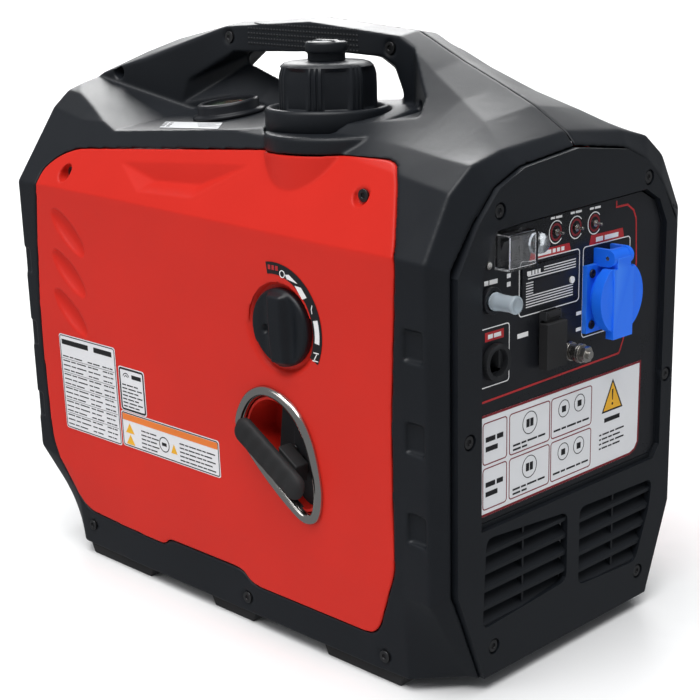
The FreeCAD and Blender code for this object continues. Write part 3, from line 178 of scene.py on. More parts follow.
SHIELD = surface("switch_shield", (0.95, 0.96, 0.98), 0.04, grain=400, bump=0.02, clear=1.0, tone=0.02)
MILKY = surface("milky_boot", (0.62, 0.70, 0.76), 0.22, grain=400, bump=0.05, clear=0.55, tone=0.06)
PAPER = surface("label_film", (0.74, 0.75, 0.77), 0.42, grain=1500, bump=0.03, tone=0.03)
INK_WHITE = surface("ink_white", (0.78, 0.78, 0.78), 0.45, grain=1500, bump=0.03, tone=0.04)
INK_BLACK = surface("ink_black", (0.015, 0.015, 0.017), 0.45, grain=1500, bump=0.03, tone=0.1)
INK_GREY = surface("ink_grey", (0.20, 0.20, 0.21), 0.5, grain=1500, bump=0.03, tone=0.1)
INK_RED = surface("ink_red", (0.42, 0.018, 0.022), 0.45, grain=1500, bump=0.03, tone=0.06)
INK_MAROON = surface("ink_maroon", (0.20, 0.012, 0.020), 0.45, grain=1500, bump=0.03, tone=0.06)
INK_YELLOW = surface("ink_yellow", (0.80, 0.42, 0.02), 0.45, grain=1500, bump=0.03, tone=0.04)
INK_ORANGE = surface("ink_orange", (0.78, 0.20, 0.03), 0.45, grain=1500, bump=0.03, tone=0.04)
GREEN = surface("gauge_green", (0.30, 0.42, 0.25), 0.35, grain=500, bump=0.05, tone=0.2, blotch=90)
LAMP_RED = surface("lamp_red", (0.35, 0.01, 0.012), 0.2, grain=500, bump=0.03, tone=0.1)
FLOOR = surface("studio_floor", (0.93, 0.93, 0.93), 0.55, grain=60, bump=0.02, tone=0.01, blotch=2)

SLOT_FINISH = {
    "black_shell": SHELL, "red_cover": RED, "chrome_trim": CHROME, "black_gloss": GLOSS, "black_matte": MATT,
    "blue_plastic": BLUE, "clear_cover": CLEAR, "white_label": PAPER, "rubber_black": RUBBER,
    "zinc_steel": ZINC, "dark_screw": DARK_STEEL, "cast_aluminium": ALLOY, "iron": IRON,
    "copper_steel": WINDING, "tank_plastic": TANK, "cord_fibre": ROPE}


# ---------------------------------------------------------------- mesh helpers

def body_of(cad_node):
    return NODES[cad_node]["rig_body"]


def place(name, mesh, material, body="frame", slot=None, nodes=(), bevel=0.0, steps=3, sharp=38.0):
    """Turn a mesh into a finished piece on a body, with smooth faces split only at real edges."""
    made = bpy.data.objects.new(name, mesh)
    bpy.context.scene.collection.objects.link(made)
    mesh.materials.clear()
    mesh.materials.append(material)
    work = bmesh.new()
    work.from_mesh(mesh)
    bmesh.ops.recalc_face_normals(work, faces=work.faces)
    for face in work.faces:
        face.smooth = True
    if not bevel:
        for edge in work.edges:
            if len(edge.link_faces) == 2 and edge.calc_face_angle() > math.radians(sharp):
                edge.smooth = False
    work.to_mesh(mesh)
    work.free()
    if bevel:
        rounding = made.modifiers.new("rounding", "BEVEL")
        rounding.width = bevel * MM
        rounding.segments = steps
        rounding.limit_method = "ANGLE"
        rounding.angle_limit = math.radians(32)
        rounding.use_clamp_overlap = True
        even = made.modifiers.new("even_shading", "WEIGHTED_NORMAL")
        even.weight = 100
        even.keep_sharp = True
    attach(made, body)
    if nodes:
        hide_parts(*nodes)
    return made


def mesh_from(name, verts, faces):
    mesh = bpy.data.meshes.new(name)
    mesh.from_pydata([tuple(v) for v in verts], [], faces)
    mesh.validate()
    return mesh


def clean_copy(cad_node):
    """Welded copy of a CAD node's mesh with its flat triangles joined back into faces."""
    work = bmesh.new()
    work.from_mesh(NODES[cad_node].data)
    bmesh.ops.remove_doubles(work, verts=work.verts, dist=1e-5)
    bmesh.ops.dissolve_limit(work, angle_limit=math.radians(0.4), verts=work.verts, edges=work.edges)
    mesh = bpy.data.meshes.new(cad_node + "_copy")
    work.to_mesh(mesh)
    work.free()
    return mesh


def rounded_copy(cad_node, material, bevel=0.6, steps=3, name=None):
    """A CAD node with its real edges rounded off."""
    slot = next(s["material_slot"] for s in frame["record"]["subparts"] if s["node"] == cad_node)
    return place(name or cad_node + "_moulded", clean_copy(cad_node), material, body_of(cad_node), slot,
                 (cad_node,), bevel, steps)


def melted_copy(cad_node, material, voxel, rounds, slot):
    """A CAD node remeshed finely and softened, for mouldings with flowing edges."""
    made = place(cad_node + "_moulded", clean_copy(cad_node), material, body_of(cad_node), slot, (cad_node,),
                 sharp=180)
    remesh = made.modifiers.new("voxels", "REMESH")
    remesh.mode = "VOXEL"
    remesh.voxel_size = voxel * MM
    remesh.use_smooth_shade = True
    soft = made.modifiers.new("soft", "SMOOTH")
    soft.factor = 0.5
    soft.iterations = rounds
    bpy.context.view_layer.update()
    baked = bpy.data.meshes.new_from_object(made.evaluated_get(bpy.context.evaluated_depsgraph_get()))
    made.modifiers.clear()
    made.data = baked
    return made


def lathe(name, profile, base, axis, material, body="frame", segments=96, ripple=None, rise=None, **options):
    """Turned piece. The profile is (radius, height) in order. ripple(index, angle) adds to the radius
    and rise(index, across, up) to the height."""
    turn = Vector((0, 0, 1)).rotation_difference(Vector(axis)).to_matrix()
    origin = at(*base)
    verts = []
    rings = []
    for index, (radius, height) in enumerate(profile):
        if radius == 0:
            level = height + (rise(index, 0.0, 0.0) if rise else 0.0)
            verts.append(origin + turn @ Vector((0, 0, level)) * MM)
            rings.append([len(verts) - 1])
            continue
        ring = []
        for k in range(segments):
            angle = 2 * math.pi * k / segments
            reach = radius + (ripple(index, angle) if ripple else 0.0)
            across, up = reach * math.cos(angle), reach * math.sin(angle)
            level = height + (rise(index, across, up) if rise else 0.0)
            verts.append(origin + turn @ Vector((across, up, level)) * MM)
            ring.append(len(verts) - 1)
        rings.append(ring)
    closed = profile[0][0] > 0 and profile[-1][0] > 0
    pairs = list(zip(rings, rings[1:])) + ([(rings[-1], rings[0])] if closed else [])
    faces = []
    for low, high in pairs:
        for k in range(segments):
            n = (k + 1) % segments
            if len(low) == 1:
                faces.append((low[0], high[n], high[k]))
            elif len(high) == 1:
                faces.append((low[k], low[n], high[0]))
            else:
                faces.append((low[k], low[n], high[n], high[k]))
    return place(name, mesh_from(name, verts, faces), material, body, **options)


class Print:
    """Collects thin solid shapes that share an ink and a surface, then makes one piece of them."""

    def __init__(self, to_surface, lift, thickness=0.12):
        self.to_surface = to_surface
        self.lift = lift
        self.thickness = thickness
        self.verts = []
        self.faces = []

    def area(self, outline):
        """Filled outline, convex or not."""
        count = len(outline)
        start = len(self.verts)
        for level in (0.0, self.thickness):
            self.verts += [self.to_surface(a, b, self.lift + level) for a, b in outline]
        self.faces.append(tuple(start + i for i in range(count)))
        self.faces.append(tuple(start + count + i for i in reversed(range(count))))
        for i in range(count):
            n = (i + 1) % count
            self.faces.append((start + n, start + i, start + count + i, start + count + n))

    def box(self, a0, a1, b0, b1):
        self.area([(a0, b0), (a1, b0), (a1, b1), (a0, b1)])

    def line(self, points, width, closed=False):
        """Band of even width along a polyline."""
        count = len(points)
        left, right = [], []
        for i, (a, b) in enumerate(points):
            before = points[i - 1] if i or closed else points[i]
            after = points[(i + 1) % count] if i + 1 < count or closed else points[i]
            first = Vector((a - before[0], b - before[1])) if before != points[i] else None
            second = Vector((after[0] - a, after[1] - b)) if after != points[i] else None
            first = (first or second).normalized()
            second = (second or first).normalized()
            normal = Vector((-first.y - second.y, first.x + second.x)).normalized()
            reach = width / 2 / max(0.5, normal.dot(Vector((-first.y, first.x))))
            left.append((a + normal.x * reach, b + normal.y * reach))
            right.append((a - normal.x * reach, b - normal.y * reach))
        start = len(self.verts)
        rows = []
        for i in range(count):
            row = []
            for point, level in ((left[i], 0.0), (right[i], 0.0), (right[i], self.thickness), (left[i], self.thickness)):
                self.verts.append(self.to_surface(point[0], point[1], self.lift + level))
                row.append(len(self.verts) - 1)
            rows.append(row)
        links = list(zip(rows, rows[1:])) + ([(rows[-1], rows[0])] if closed else [])
        for one, two in links:
            for k in range(4):
                n = (k + 1) % 4
                self.faces.append((one[k], one[n], two[n], two[k]))
        if not closed:
            self.faces += [tuple(rows[0][::-1]), tuple(rows[-1])]

    def circle(self, a, b, radius, width, start=0.0, sweep=360.0, steps=32):
        closed = sweep >= 360
        angles = [math.radians(start + sweep * i / steps) for i in range(steps if closed else steps + 1)]
        self.line([(a + radius * math.cos(t), b + radius * math.sin(t)) for t in angles], width, closed)

    def disc(self, a, b, radius, steps=28):
        self.area([(a + radius * math.cos(2 * math.pi * i / steps), b + radius * math.sin(2 * math.pi * i / steps))
                   for i in range(steps)])

    def words(self, a0, a1, b, height, pattern):
        """Row of short bars standing for lettering."""
        total = sum(pattern) + 0.5 * (len(pattern) - 1)
        unit = (a1 - a0) / total
        spot = a0
        for length in pattern:
            self.box(spot, spot + length * unit, b, b + height)
            spot += (length + 0.5) * unit

    def make(self, name, material, body="frame"):
        return place(name, mesh_from(name, self.verts, self.faces), material, body, "white_label")


def round_corners(a0, a1, b0, b1, radius, steps=5):
    """Rectangle outline with round corners."""
    points = []
    for ca, cb, start in ((a1 - radius, b0 + radius, -90), (a1 - radius, b1 - radius, 0),
                          (a0 + radius, b1 - radius, 90), (a0 + radius, b0 + radius, 180)):
        for i in range(steps + 1):
            t = math.radians(start + 90 * i / steps)
            points.append((ca + radius * math.cos(t), cb + radius * math.sin(t)))
    return points


# ---------------------------------------------------------------- plain finishes for the CAD nodes that show

for item in frame["record"]["subparts"]:
    cad = NODES[item["node"]]
    cad.data.materials.clear()
    cad.data.materials.append(SLOT_FINISH[item["material_slot"]])

# ---------------------------------------------------------------- casing

front_shell = melted_copy("front_shell", SHELL, 1.2, 10, "black_shell")
rear_shell = melted_copy("rear_shell", SHELL, 1.6, 8, "black_shell")
side_cover = melted_copy("side_cover", RED, 1.0, 8, "red_cover")
service_cover = melted_copy("service_cover", RED, 1.2, 6, "red_cover")
rounded_copy("end_frame", SHELL, 1.0)
rounded_copy("exhaust_cover", SHELL, 0.8)
rounded_copy("feet", RUBBER, 1.2)
rounded_copy("base_tray", SHELL, 1.0)
rounded_copy("control_panel", GLOSS, 0.5)
rounded_copy("case_screws", DARK_STEEL, 0.25, 2)


def hull_of(piece):
    work = bmesh.new()
    work.from_mesh(piece.data)
    tree = BVHTree.FromBMesh(work)
    work.free()
    return tree


COVER_TREE = hull_of(side_cover)
SHELL_TREE = hull_of(front_shell)


def on_side(x, z, lift):
    """Point on the starter-side cover, lifted off it."""
    start = at(x, -190, z)
    hit = COVER_TREE.ray_cast(start, Vector((0, 1, 0)), 0.1)[0]
    y = hit.y if hit else at(0, -145, 0).y
    return Vector((start.x, y - lift * MM, start.z))


def on_panel(y, z, lift):
    return at(PANEL + lift, y, z)


def on_shelf(x, y, lift):
    """Point on the sloping shelf beside the handle, lifted off it."""
    return at(x, y, 378 + 0.065 * (x + 135) + 0.12 * (y + 111) + lift)


# ---------------------------------------------------------------- filler, cap and gauge

def eased_step(value, low, high):
    """0 below low, 1 above high, with a soft change between them."""
    t = min(1.0, max(0.0, (value - low) / (high - low)))
    return t * t * (3 - 2 * t)


FILLER = (65.0, -66.0)
CAP_FLUTES = 7


def flutes(index, angle):
    """Broad scallops round the cap, with a pair of thin ribs on each land between them."""
    if index not in (3, 4, 5, 6):
        return 0.0
    phase = (angle * CAP_FLUTES / (2 * math.pi)) % 1.0
    if phase < 0.70:
        return -3.6 * math.sin(math.pi * phase / 0.70) ** 0.5
    return -1.0 if 0.77 < phase < 0.82 or 0.88 < phase < 0.93 else 0.0


lathe("fuel_cap_fluted", [(32.5, 401.2), (36.2, 401.2), (36.8, 402.5), (37.2, 405), (37.2, 418), (36.9, 428), (36.0, 431.5),
      (34.8, 434.4), (32.4, 436.6), (29, 437.7), (20, 437.9), (6.1, 437.9), (6.1, 434.6), (32.5, 434.6)],
      (*FILLER, 0), (0, 0, 1), SHELL, "cap", 336, flutes, slot="black_shell", nodes=("fuel_cap",), sharp=33)


def thumb_bar(index, across, up):
    """Low bar left standing across the vent knob's top."""
    if index < 11:
        return 0.0
    return -1.2 * eased_step(abs(up), 2.4, 3.4)


lathe("vent_knob_turned", [(0, 434.8), (5.9, 434.8), (5.9, 438.4), (14.0, 438.4), (14.0, 443.0), (14.6, 444.0),
      (15.6, 444.6), (15.9, 445.4), (15.9, 450.0), (15.4, 451.3), (14.2, 451.9), (12.6, 452.1), (11.0, 452.9),
      (9.0, 453.2), (7.2, 453.2), (5.4, 453.2), (3.6, 453.2), (2.2, 453.2), (1.0, 453.2), (0, 453.2)],
      (*FILLER, 0), (0, 0, 1), SHELL, "vent_knob", 160, None, thumb_bar, slot="black_shell",
      nodes=("cap_vent_knob",), sharp=50)
lathe("filler_collar_ring", [(39.6, 373.2), (46.9, 373.2), (46.9, 384.2), (46.2, 385), (46.2, 386.4), (46.9, 387.2), (46.9, 402.2),
      (46.2, 404), (44.6, 404.9), (42.8, 404.8), (41.2, 402.6), (39.6, 397)],
      (*FILLER, 0), (0, 0, 1), SHELL, "frame", 144, slot="black_shell", nodes=("filler_collar",), sharp=60)

GAUGE = (-60.0, -55.0, 389.6)
GAUGE_AXIS = Vector((-0.065, -0.12, 1)).normalized()
GAUGE_ACROSS = Vector((1, 0, 0.065)).normalized()
GAUGE_UP = GAUGE_AXIS.cross(GAUGE_ACROSS)
lathe("gauge_ring", [(16.1, -7.9), (16.9, -7.9), (16.9, 0.2), (29.3, 0.2), (29.9, 0.8), (29.9, 2.3), (29.2, 3.1),
      (26.0, 3.8), (25.4, 4.6), (25.4, 9.6), (24.8, 10.9), (23.4, 11.8), (21.0, 11.9), (19.8, 11.3), (19.55, 10.2),
      (19.55, 6.05), (16.1, 6.05)], GAUGE, GAUGE_AXIS, GLOSS, "frame", 96, slot="black_gloss",
      nodes=("gauge_bezel",), sharp=50)
lathe("gauge_window", [(0, 8.4), (19.2, 8.4), (19.2, 9.4), (12, 9.8), (0, 9.9)], GAUGE, GAUGE_AXIS, SHIELD, "frame",
      96, slot="clear_cover", nodes=("gauge_lens",), sharp=60)
lathe("gauge_face", [(0, 6.2), (19.0, 6.2), (19.0, 6.8), (0, 6.8)], GAUGE, GAUGE_AXIS, GREEN, "frame", 64,
      slot="clear_cover")


def on_gauge(a, b, lift):
    return at(*GAUGE) + (GAUGE_ACROSS * a + GAUGE_UP * b + GAUGE_AXIS * (6.9 + lift)) * MM


dial = Print(on_gauge, 0.0, 0.3)
dial.circle(0, 0, 14.5, 1.4, 30, 120)
dial.area([(-1.4, -4), (1.4, -4), (0.5, 11), (-0.5, 11)])
dial.make("gauge_pointer", INK_RED)


def raised_dots():
    """Rows of small studs along the handle's upright starter-side face."""
    work = bmesh.new()
    for row in range(5):
        for k in range(37):
            start = at(-70.5 + 3.45 * k, -60, 444.6 + 3.9 * row - 0.085 * k)
            hit, normal = SHELL_TREE.ray_cast(start, Vector((0, 1, 0)), 0.1)[:2]
            if hit is None:
                continue
            turn = Vector((0, 0, 1)).rotation_difference(normal).to_matrix().to_4x4()
            spot = Matrix.Translation(hit) @ turn @ Matrix.Diagonal((1, 1, 0.6, 1))
            bmesh.ops.create_uvsphere(work, u_segments=10, v_segments=6, radius=1.2 * MM, matrix=spot)
    mesh = bpy.data.meshes.new("handle_studs")
    work.to_mesh(mesh)
    work.free()
    return place("handle_studs", mesh, MATT, "frame", "black_matte", sharp=180)


raised_dots()

shelf_print = Print(on_shelf, 0.25, 0.2)
shelf_print.area([(-89, -104.5), (-108, -83), (-31, -87.5), (-11, -109.5)])
shelf_print.make("shelf_sticker", PAPER)
shelf_ink = Print(on_shelf, 0.5, 0.15)
for k in range(7):
    for m in range(7):
        if (k * 5 + m * 3 + k * m) % 3:
            a = -101 + 2.4 * k + 1.7 * (m - 3)
            b = -92.5 - 2.1 * (m - 3) - 0.2 * k
            shelf_ink.area([(a, b), (a + 2.1, b - 0.2), (a + 3.6, b - 2.0), (a + 1.5, b - 1.8)])
for k in range(4):
    a = -60 + 5.5 * k
    b = -89 - 4.2 * k
    shelf_ink.line([(a, b), (a + 30 - 5 * (k % 2), b - 2.6)], 0.4)
shelf_ink.make("shelf_sticker_ink", INK_GREY)

# ---------------------------------------------------------------- starter side

KNOB = (93.0, 254.0)


def knob_relief(index, across, up):
    """Broad finger ridge, hollows beside it and a small pointer pit on the knob's face."""
    if index > 26:
        return 0.0
    reach = math.hypot(across, up)
    fade = 1 - eased_step(reach, 24.5, 27.8)
    ridge = 5.4 * (1 - eased_step(abs(across - 2.4 + 0.06 * up), 5.4, 11.0)) * (1 - eased_step(abs(up), 23.5, 28.0))
    hollow = -1.5 * math.exp(-((abs(across) - 15) / 4.5) ** 2) * math.exp(-(up / 17) ** 2)
    pit = -2.6 * (1 - eased_step(math.hypot(across + 14.0, up + 3.0), 2.8, 4.0))
    dome = 1.0 * (1 - (reach / 29) ** 2)
    return dome + ridge * (0.35 + 0.65 * fade) + (hollow + pit) * fade


def knob_rim(index, angle):
    """Step in the knob's rim at its lower left."""
    if not 20 <= index <= 31:
        return 0.0
    turn = math.degrees(angle) % 360
    return -2.0 * eased_step(turn, 208, 213) * (1 - eased_step(turn, 255, 268)) * (index - 19) / 12


knob_front = [(1.05 * k, 7.0) for k in range(27)]
lathe("run_knob_turned", knob_front + [(28.0, 6.5), (28.8, 5.6), (29.0, 4.6), (29.0, 1.0), (28.5, 0.1), (6.0, 0.0),
      (6.0, -24.2), (0, -24.2)], (KNOB[0], -141.7, KNOB[1]), (0, -1, 0), SHELL, "knob", 144, knob_rim, knob_relief,
      slot="black_shell", nodes=("run_knob",), sharp=50)
rounded_copy("rope_guide", MATT, 0.8)
rounded_copy("starter_pocket", RED, 0.6)


def grip_bar():
    """Long round-ended handle bar with a crowned face and shallow finger grooves across it."""
    middle = Vector((84.5, 0, 154.5))
    lean = math.radians(30.9)
    along = Vector((math.cos(lean), 0, -math.sin(lean)))
    across = Vector((math.sin(lean), 0, math.cos(lean)))
    stations = 72
    round_steps = 40
    verts = []
    for i in range(stations + 1):
        run = 40.3 * math.sin(math.pi * (i / stations - 0.5))
        past = max(0.0, abs(run) - 30.0) / 10.4
        reach = max(0.15, 10.4 * math.sqrt(max(0.0, 1 - past * past)))
        body = max(0.4, 4.9 * (1 - past ** 4))
        groove = 0.9 * (0.5 + 0.5 * math.cos(2 * math.pi * run / 11.5)) * (1 - eased_step(abs(run), 26, 32))
        for k in range(round_steps):
            turn = 2 * math.pi * k / round_steps
            side = math.copysign(abs(math.cos(turn)) ** 0.7, math.cos(turn)) * reach
            deep = math.copysign(abs(math.sin(turn)) ** 0.8, math.sin(turn)) * body
            if deep < 0:
                deep += groove * (-deep / body) ** 2
            spot = middle + along * run + across * side
            verts.append(at(spot.x, -154.2 + deep, spot.z))
    faces = [tuple(range(round_steps)), tuple(stations * round_steps + k for k in reversed(range(round_steps)))]
    for i in range(stations):
        for k in range(round_steps):
            n = (k + 1) % round_steps
            faces.append((i * round_steps + k, i * round_steps + n, (i + 1) * round_steps + n, (i + 1) * round_steps + k))
    return mesh_from("grip_bar", verts, faces)


place("grip_bar", grip_bar(), RUBBER, "grip", "rubber_black", ("starter_grip",), sharp=60)
LUG = [(90, 142), (90, 164), (109, 152), (107, 138)]
lug_verts = [at(x, y, z) for y in (-149.8, -137.1) for x, z in LUG]
place("grip_lug", mesh_from("grip_lug", lug_verts, [(0, 1, 2, 3), (7, 6, 5, 4)] + [
    (k, (k + 1) % 4, (k + 1) % 4 + 4, k + 4) for k in range(4)]), RUBBER, "grip", "rubber_black", bevel=1.0)

RING = [(39, 170), (44, 186), (56, 200), (74, 207), (95, 203), (112, 191), (123, 173),
        (129, 150), (130.5, 130), (125, 112), (112, 107), (96, 114), (70, 133), (48, 154)]
RING_WIDTH = 10.5


def smooth_loop(points, per_side):
    """Closed Catmull-Rom curve through points."""
    count = len(points)
    curve = []
    for i in range(count):
        p = [Vector(points[(i + k - 1) % count]) for k in range(4)]
        for step in range(per_side):
            t = step / per_side
            curve.append(0.5 * ((2 * p[1]) + (p[2] - p[0]) * t + (2 * p[0] - 5 * p[1] + 4 * p[2] - p[3]) * t * t +
                                (3 * p[1] - p[0] - 3 * p[2] + p[3]) * t ** 3))
    return curve


def make_ring():
    """Domed band that follows the pocket's outline."""
    loop = smooth_loop(RING, 12)
    count = len(loop)
    section = [(0.3, 0.3), (0.5, 2.4), (1.7, 3.6), (4.0, 4.2), (6.4, 3.7), (7.9, 2.3), (8.6, 0.3), (8.6, -3.0), (6.9, -3.0), (6.9, 0.2)]
    verts, faces = [], []
    for i, point in enumerate(loop):
        along = (loop[(i + 1) % count] - loop[i - 1]).normalized()
        inward = Vector((along.y, -along.x))
        for reach, rise in section:
            spot = point + inward * reach
            lean = (142.5 + (spot.y - 78) * 6 / 247)
            verts.append(at(spot.x, -lean - rise, spot.y))
    width = len(section)
    for i in range(count):
        n = (i + 1) % count
        for k in range(width):
            m = (k + 1) % width
            faces.append((i * width + k, i * width + m, n * width + m, n * width + k))
    return place("pocket_ring", mesh_from("pocket_ring", verts, faces), CHROME, "frame", "chrome_trim",
                 ("pocket_trim",), sharp=60)


make_ring()

ARC_CENTRE = (89.5, 255.0)


def on_arc(x, z, lift):
    """Point on the cover round the knob, kept up on the flat where it would fall into the knob's dish."""
    reach = math.hypot(x - KNOB[0], z - KNOB[1])
    out = max(1.0, 39.0 / reach)
    level = on_side(KNOB[0] + (x - KNOB[0]) * out, KNOB[1] + (z - KNOB[1]) * out, lift)
    spot = at(x, 0, z)
    return Vector((spot.x, level.y, spot.z))


arc = Print(on_arc, 0.25, 0.15)
arc.circle(*ARC_CENTRE, 42.8, 8.8, -28, 128, 48)
arc.make("knob_arc_band", INK_BLACK)
arc = Print(on_arc, 0.45, 0.12)
arc.circle(98.7, 294.6, 2.5, 0.7)
arc.area([(101.8, 294.6), (105.7, 295.0), (114.3, 289.6), (103.5, 291.6)])
arc.area([(111.3, 287.9), (117.7, 287.3), (123.1, 280.8), (118.6, 278.8)])
arc.line([(128.3, 276.1), (127.4, 273), (127.8, 269.8)], 0.7)
arc.circle(*ARC_CENTRE, 42.6, 4.6, -9, 23, 8)
arc.line([(127.5, 241.4), (132.9, 241.4)], 0.8)
arc.line([(126.2, 235.4), (131.8, 235.4)], 0.8)
arc.line([(130.8, 240.6), (128.0, 236.2)], 0.8)
arc.make("knob_arc_marks", INK_WHITE)
arc = Print(on_arc, 0.45, 0.12)
arc.words(84.0, 94.5, 296.4, 3.4, (1, 1, 1))
arc.make("knob_arc_word", INK_RED)

RATING = (-191.5, -112.0, 117.5, 203.0)
TALL = (-109.0, -74.5, 150.5, 189.0)
WIDE = (-110.0, 15.5, 119.0, 150.0)
films = Print(on_side, 0.08, 0.2)
for a0, a1, b0, b1 in (RATING, TALL, WIDE):
    films.area(round_corners(a0, a1, b0, b1, 2.5))
side_films = films.make("side_label_films", PAPER)
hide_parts("labels")
ink = Print(on_side, 0.3, 0.1)
for a0, a1, b0, b1 in (RATING, WIDE):
    ink.line(round_corners(a0 + 1.2, a1 - 1.2, b0 + 1.2, b1 - 1.2, 2.0), 0.8, True)
ink.line(round_corners(TALL[0] + 1.6, TALL[1] - 1.6, TALL[2] + 1.6, TALL[3] - 1.6, 2.0), 1.6, True)
for k in range(16):
    ink.words(-188, -160 + (5 if k % 3 else 0), 121.5 + 4.1 * k, 1.0, (3, 2, 4))
    ink.words(-152, -138 + (3 if k % 2 else 0), 121.5 + 4.1 * k, 1.0, (2, 3))
    ink.words(-131, -119 + (2 if k % 4 else 0), 121.5 + 4.1 * k, 1.0, (3, 1, 2))
for k in range(5):
    ink.box(-189, -115, 132.0 + 12.3 * k, 132.3 + 12.3 * k)
ink.box(-188, -150, 194, 198.5)
ink.box(-142, -117, 194, 198.5)
ink.circle(-99, 179.5, 4.2, 0.7, 20, 140)
ink.circle(-99, 179.5, 2.2, 0.7, 20, 140)
ink.box(-91.5, -79, 180, 183.5)
for k in range(7):
    ink.words(-105, -79 if k % 2 else -84, 154.5 + 3.1 * k, 1.0, (2, 3, 2))
for k in range(5):
    ink.words(-84, -64 + (3 if k % 2 else 0), 122.5 + 3.5 * k, 1.0, (3, 2, 4))
    ink.words(-34, 10 - (4 if k % 2 else 0), 122.5 + 3.5 * k, 1.0, (3, 2, 4, 3, 2, 5))
ink.circle(-54, 131.5, 6.2, 0.8)
ink.box(-57, -51, 130.2, 133)
ink.make("side_label_ink", INK_BLACK)
header = Print(on_side, 0.3, 0.1)
header.box(-108, 13.5, 142.4, 148)
header.make("side_label_headers", INK_ORANGE)
mark = Print(on_side, 0.3, 0.12)
for low in (121.5, 131.5):
    mark.area([(-105, low), (-93.5, low), (-99.2, low + 8.6)])
mark.area([(-45.5, 126.5), (-37.5, 126.5), (-41.5, 134.5)])
mark.make("side_label_triangle", INK_YELLOW)

# ---------------------------------------------------------------- control panel

rounded_copy("socket_body", BLUE, 0.8)
rounded_copy("socket_lid", BLUE, 1.3, 4)
rounded_copy("dc_socket", MATT, 0.6)
rounded_copy("usb_module", MATT, 0.4)
rounded_copy("usb_cover", RUBBER, 2.4, 5)
rounded_copy("switch_bezel", GLOSS, 0.5)
rounded_copy("switch_cover", SHIELD, 0.8)
rounded_copy("eco_rocker", MATT, 0.6)
rounded_copy("reset_breaker", GLOSS, 0.5)
rounded_copy("meter", GLOSS, 0.4)
rounded_copy("meter_button", INK_WHITE, 0.4)
rounded_copy("earth_terminal", ZINC, 0.45)
rounded_copy("indicator_lamps", ZINC, 0.3)

LAMP = (-43.0, 319.0)
lathe("switch_lamp_dome", [(0, -12), (4.9, -12), (4.9, 0.1), (8.1, 0.1), (8.1, 1.6), (7.4, 3.0), (7.2, 5.0), (6.4, 7.4), (4.6, 9.4), (2.2, 10.2),
      (0, 10.35)], (PANEL, *LAMP), (1, 0, 0), CLEAR, "frame", 64, slot="clear_cover", nodes=("switch_lamp",), sharp=60)
RESET = (-92.5, 287.0)
lathe("reset_boot", [(0, -9.9), (3.0, -9.9), (3.0, 4.3), (6.0, 4.3), (6.5, 5.6), (6.1, 8.0), (5.7, 11), (5.6, 19), (6.2, 21.5), (6.4, 23.0),
      (6.0, 24.0), (4.8, 24.15), (4.2, 23.2), (0, 23.0)], (PANEL, *RESET), (1, 0, 0), MILKY, "reset", 64,
      slot="clear_cover", nodes=("reset_button",), sharp=60)

white = Print(on_panel, 0.06, 0.12)
white.line(round_corners(-60.5, 8.5, 269, 307, 3), 0.7, True)
white.line(round_corners(13, 71.6, 240, 307, 3), 0.7, True)
white.line(round_corners(-103, -71, 226.6, 267.7, 2.5), 0.7, True)
for y in (-19.6, 3.8, 26.0):
    white.circle(y, 323, 8.0, 0.7, 40, 280)
white.words(-98, -84, 297.5, 3.2, (2, 4))
white.words(-74, -70, 293, 3.2, (2,))
white.words(-74, -70, 299, 3.0, (2,))
white.words(-62, -50, 254, 3.4, (3,))
for k, y in enumerate((-20, 3, 26)):
    white.words(y - 6, y + 7, 333.2 if k else 332.6, 1.6, (2, 3))
white.words(6, 12, 258, 2.6, (2,))
white.words(6, 12, 246, 2.6, (2,))
white.make("panel_print_white", INK_WHITE)
red = Print(on_panel, 0.06, 0.12)
red.area([(-50, 307.4), (-2, 307.4), (-4, 313), (-48, 313)])
red.area([(20, 307.4), (63.5, 307.4), (61.5, 314.5), (22, 314.5)])
red.box(-97, -77, 258.5, 265)
red.line([(53, 335.6), (53, 331), (67, 331), (75, 326), (78.7, 319), (80.6, 285), (66, 228), (61, 218.7), (-102, 216.4)], 1.5)
red.make("panel_print_red", INK_RED)
rings = Print(on_panel, 0.06, 0.12)
for y in (-19.6, 3.8, 26.0):
    rings.circle(y, 323, 5.6, 1.6)
rings.make("panel_lamp_rings", INK_MAROON)
letters = Print(on_panel, 0.2, 0.1)
letters.words(-42, -10, 308.8, 2.8, (5, 1, 1, 1))
letters.words(28, 56, 308.8, 3.4, (2, 4))
letters.words(-94, -80, 260.2, 3.0, (2, 3))
letters.make("panel_print_letters", INK_WHITE)


def on_meter(y, z, lift):
    return at(PANEL + 0.9 + lift, y, z)


meter_print = Print(on_meter, 0.04, 0.1)
for k in range(4):
    meter_print.box(-52 + (18 if k > 1 else 0), 3, 294.5 + 1.9 * k, 295.2 + 1.9 * k)
for k in range(5):
    meter_print.box(-54, 0, 274.6 + 1.9 * k, 275.3 + 1.9 * k)
for k in range(5):
    meter_print.box(-54, -46, 284 + 1.9 * k, 284.7 + 1.9 * k)
meter_print.words(-53, -38, 297.2, 3.0, (2, 1, 1, 1))
meter_print.make("meter_print", INK_WHITE)
lcd = Print(on_meter, 0.04, 0.25)
lcd.area(round_corners(-45, -10, 283.6, 293, 0.8))
lcd.make("meter_window", INK_BLACK)

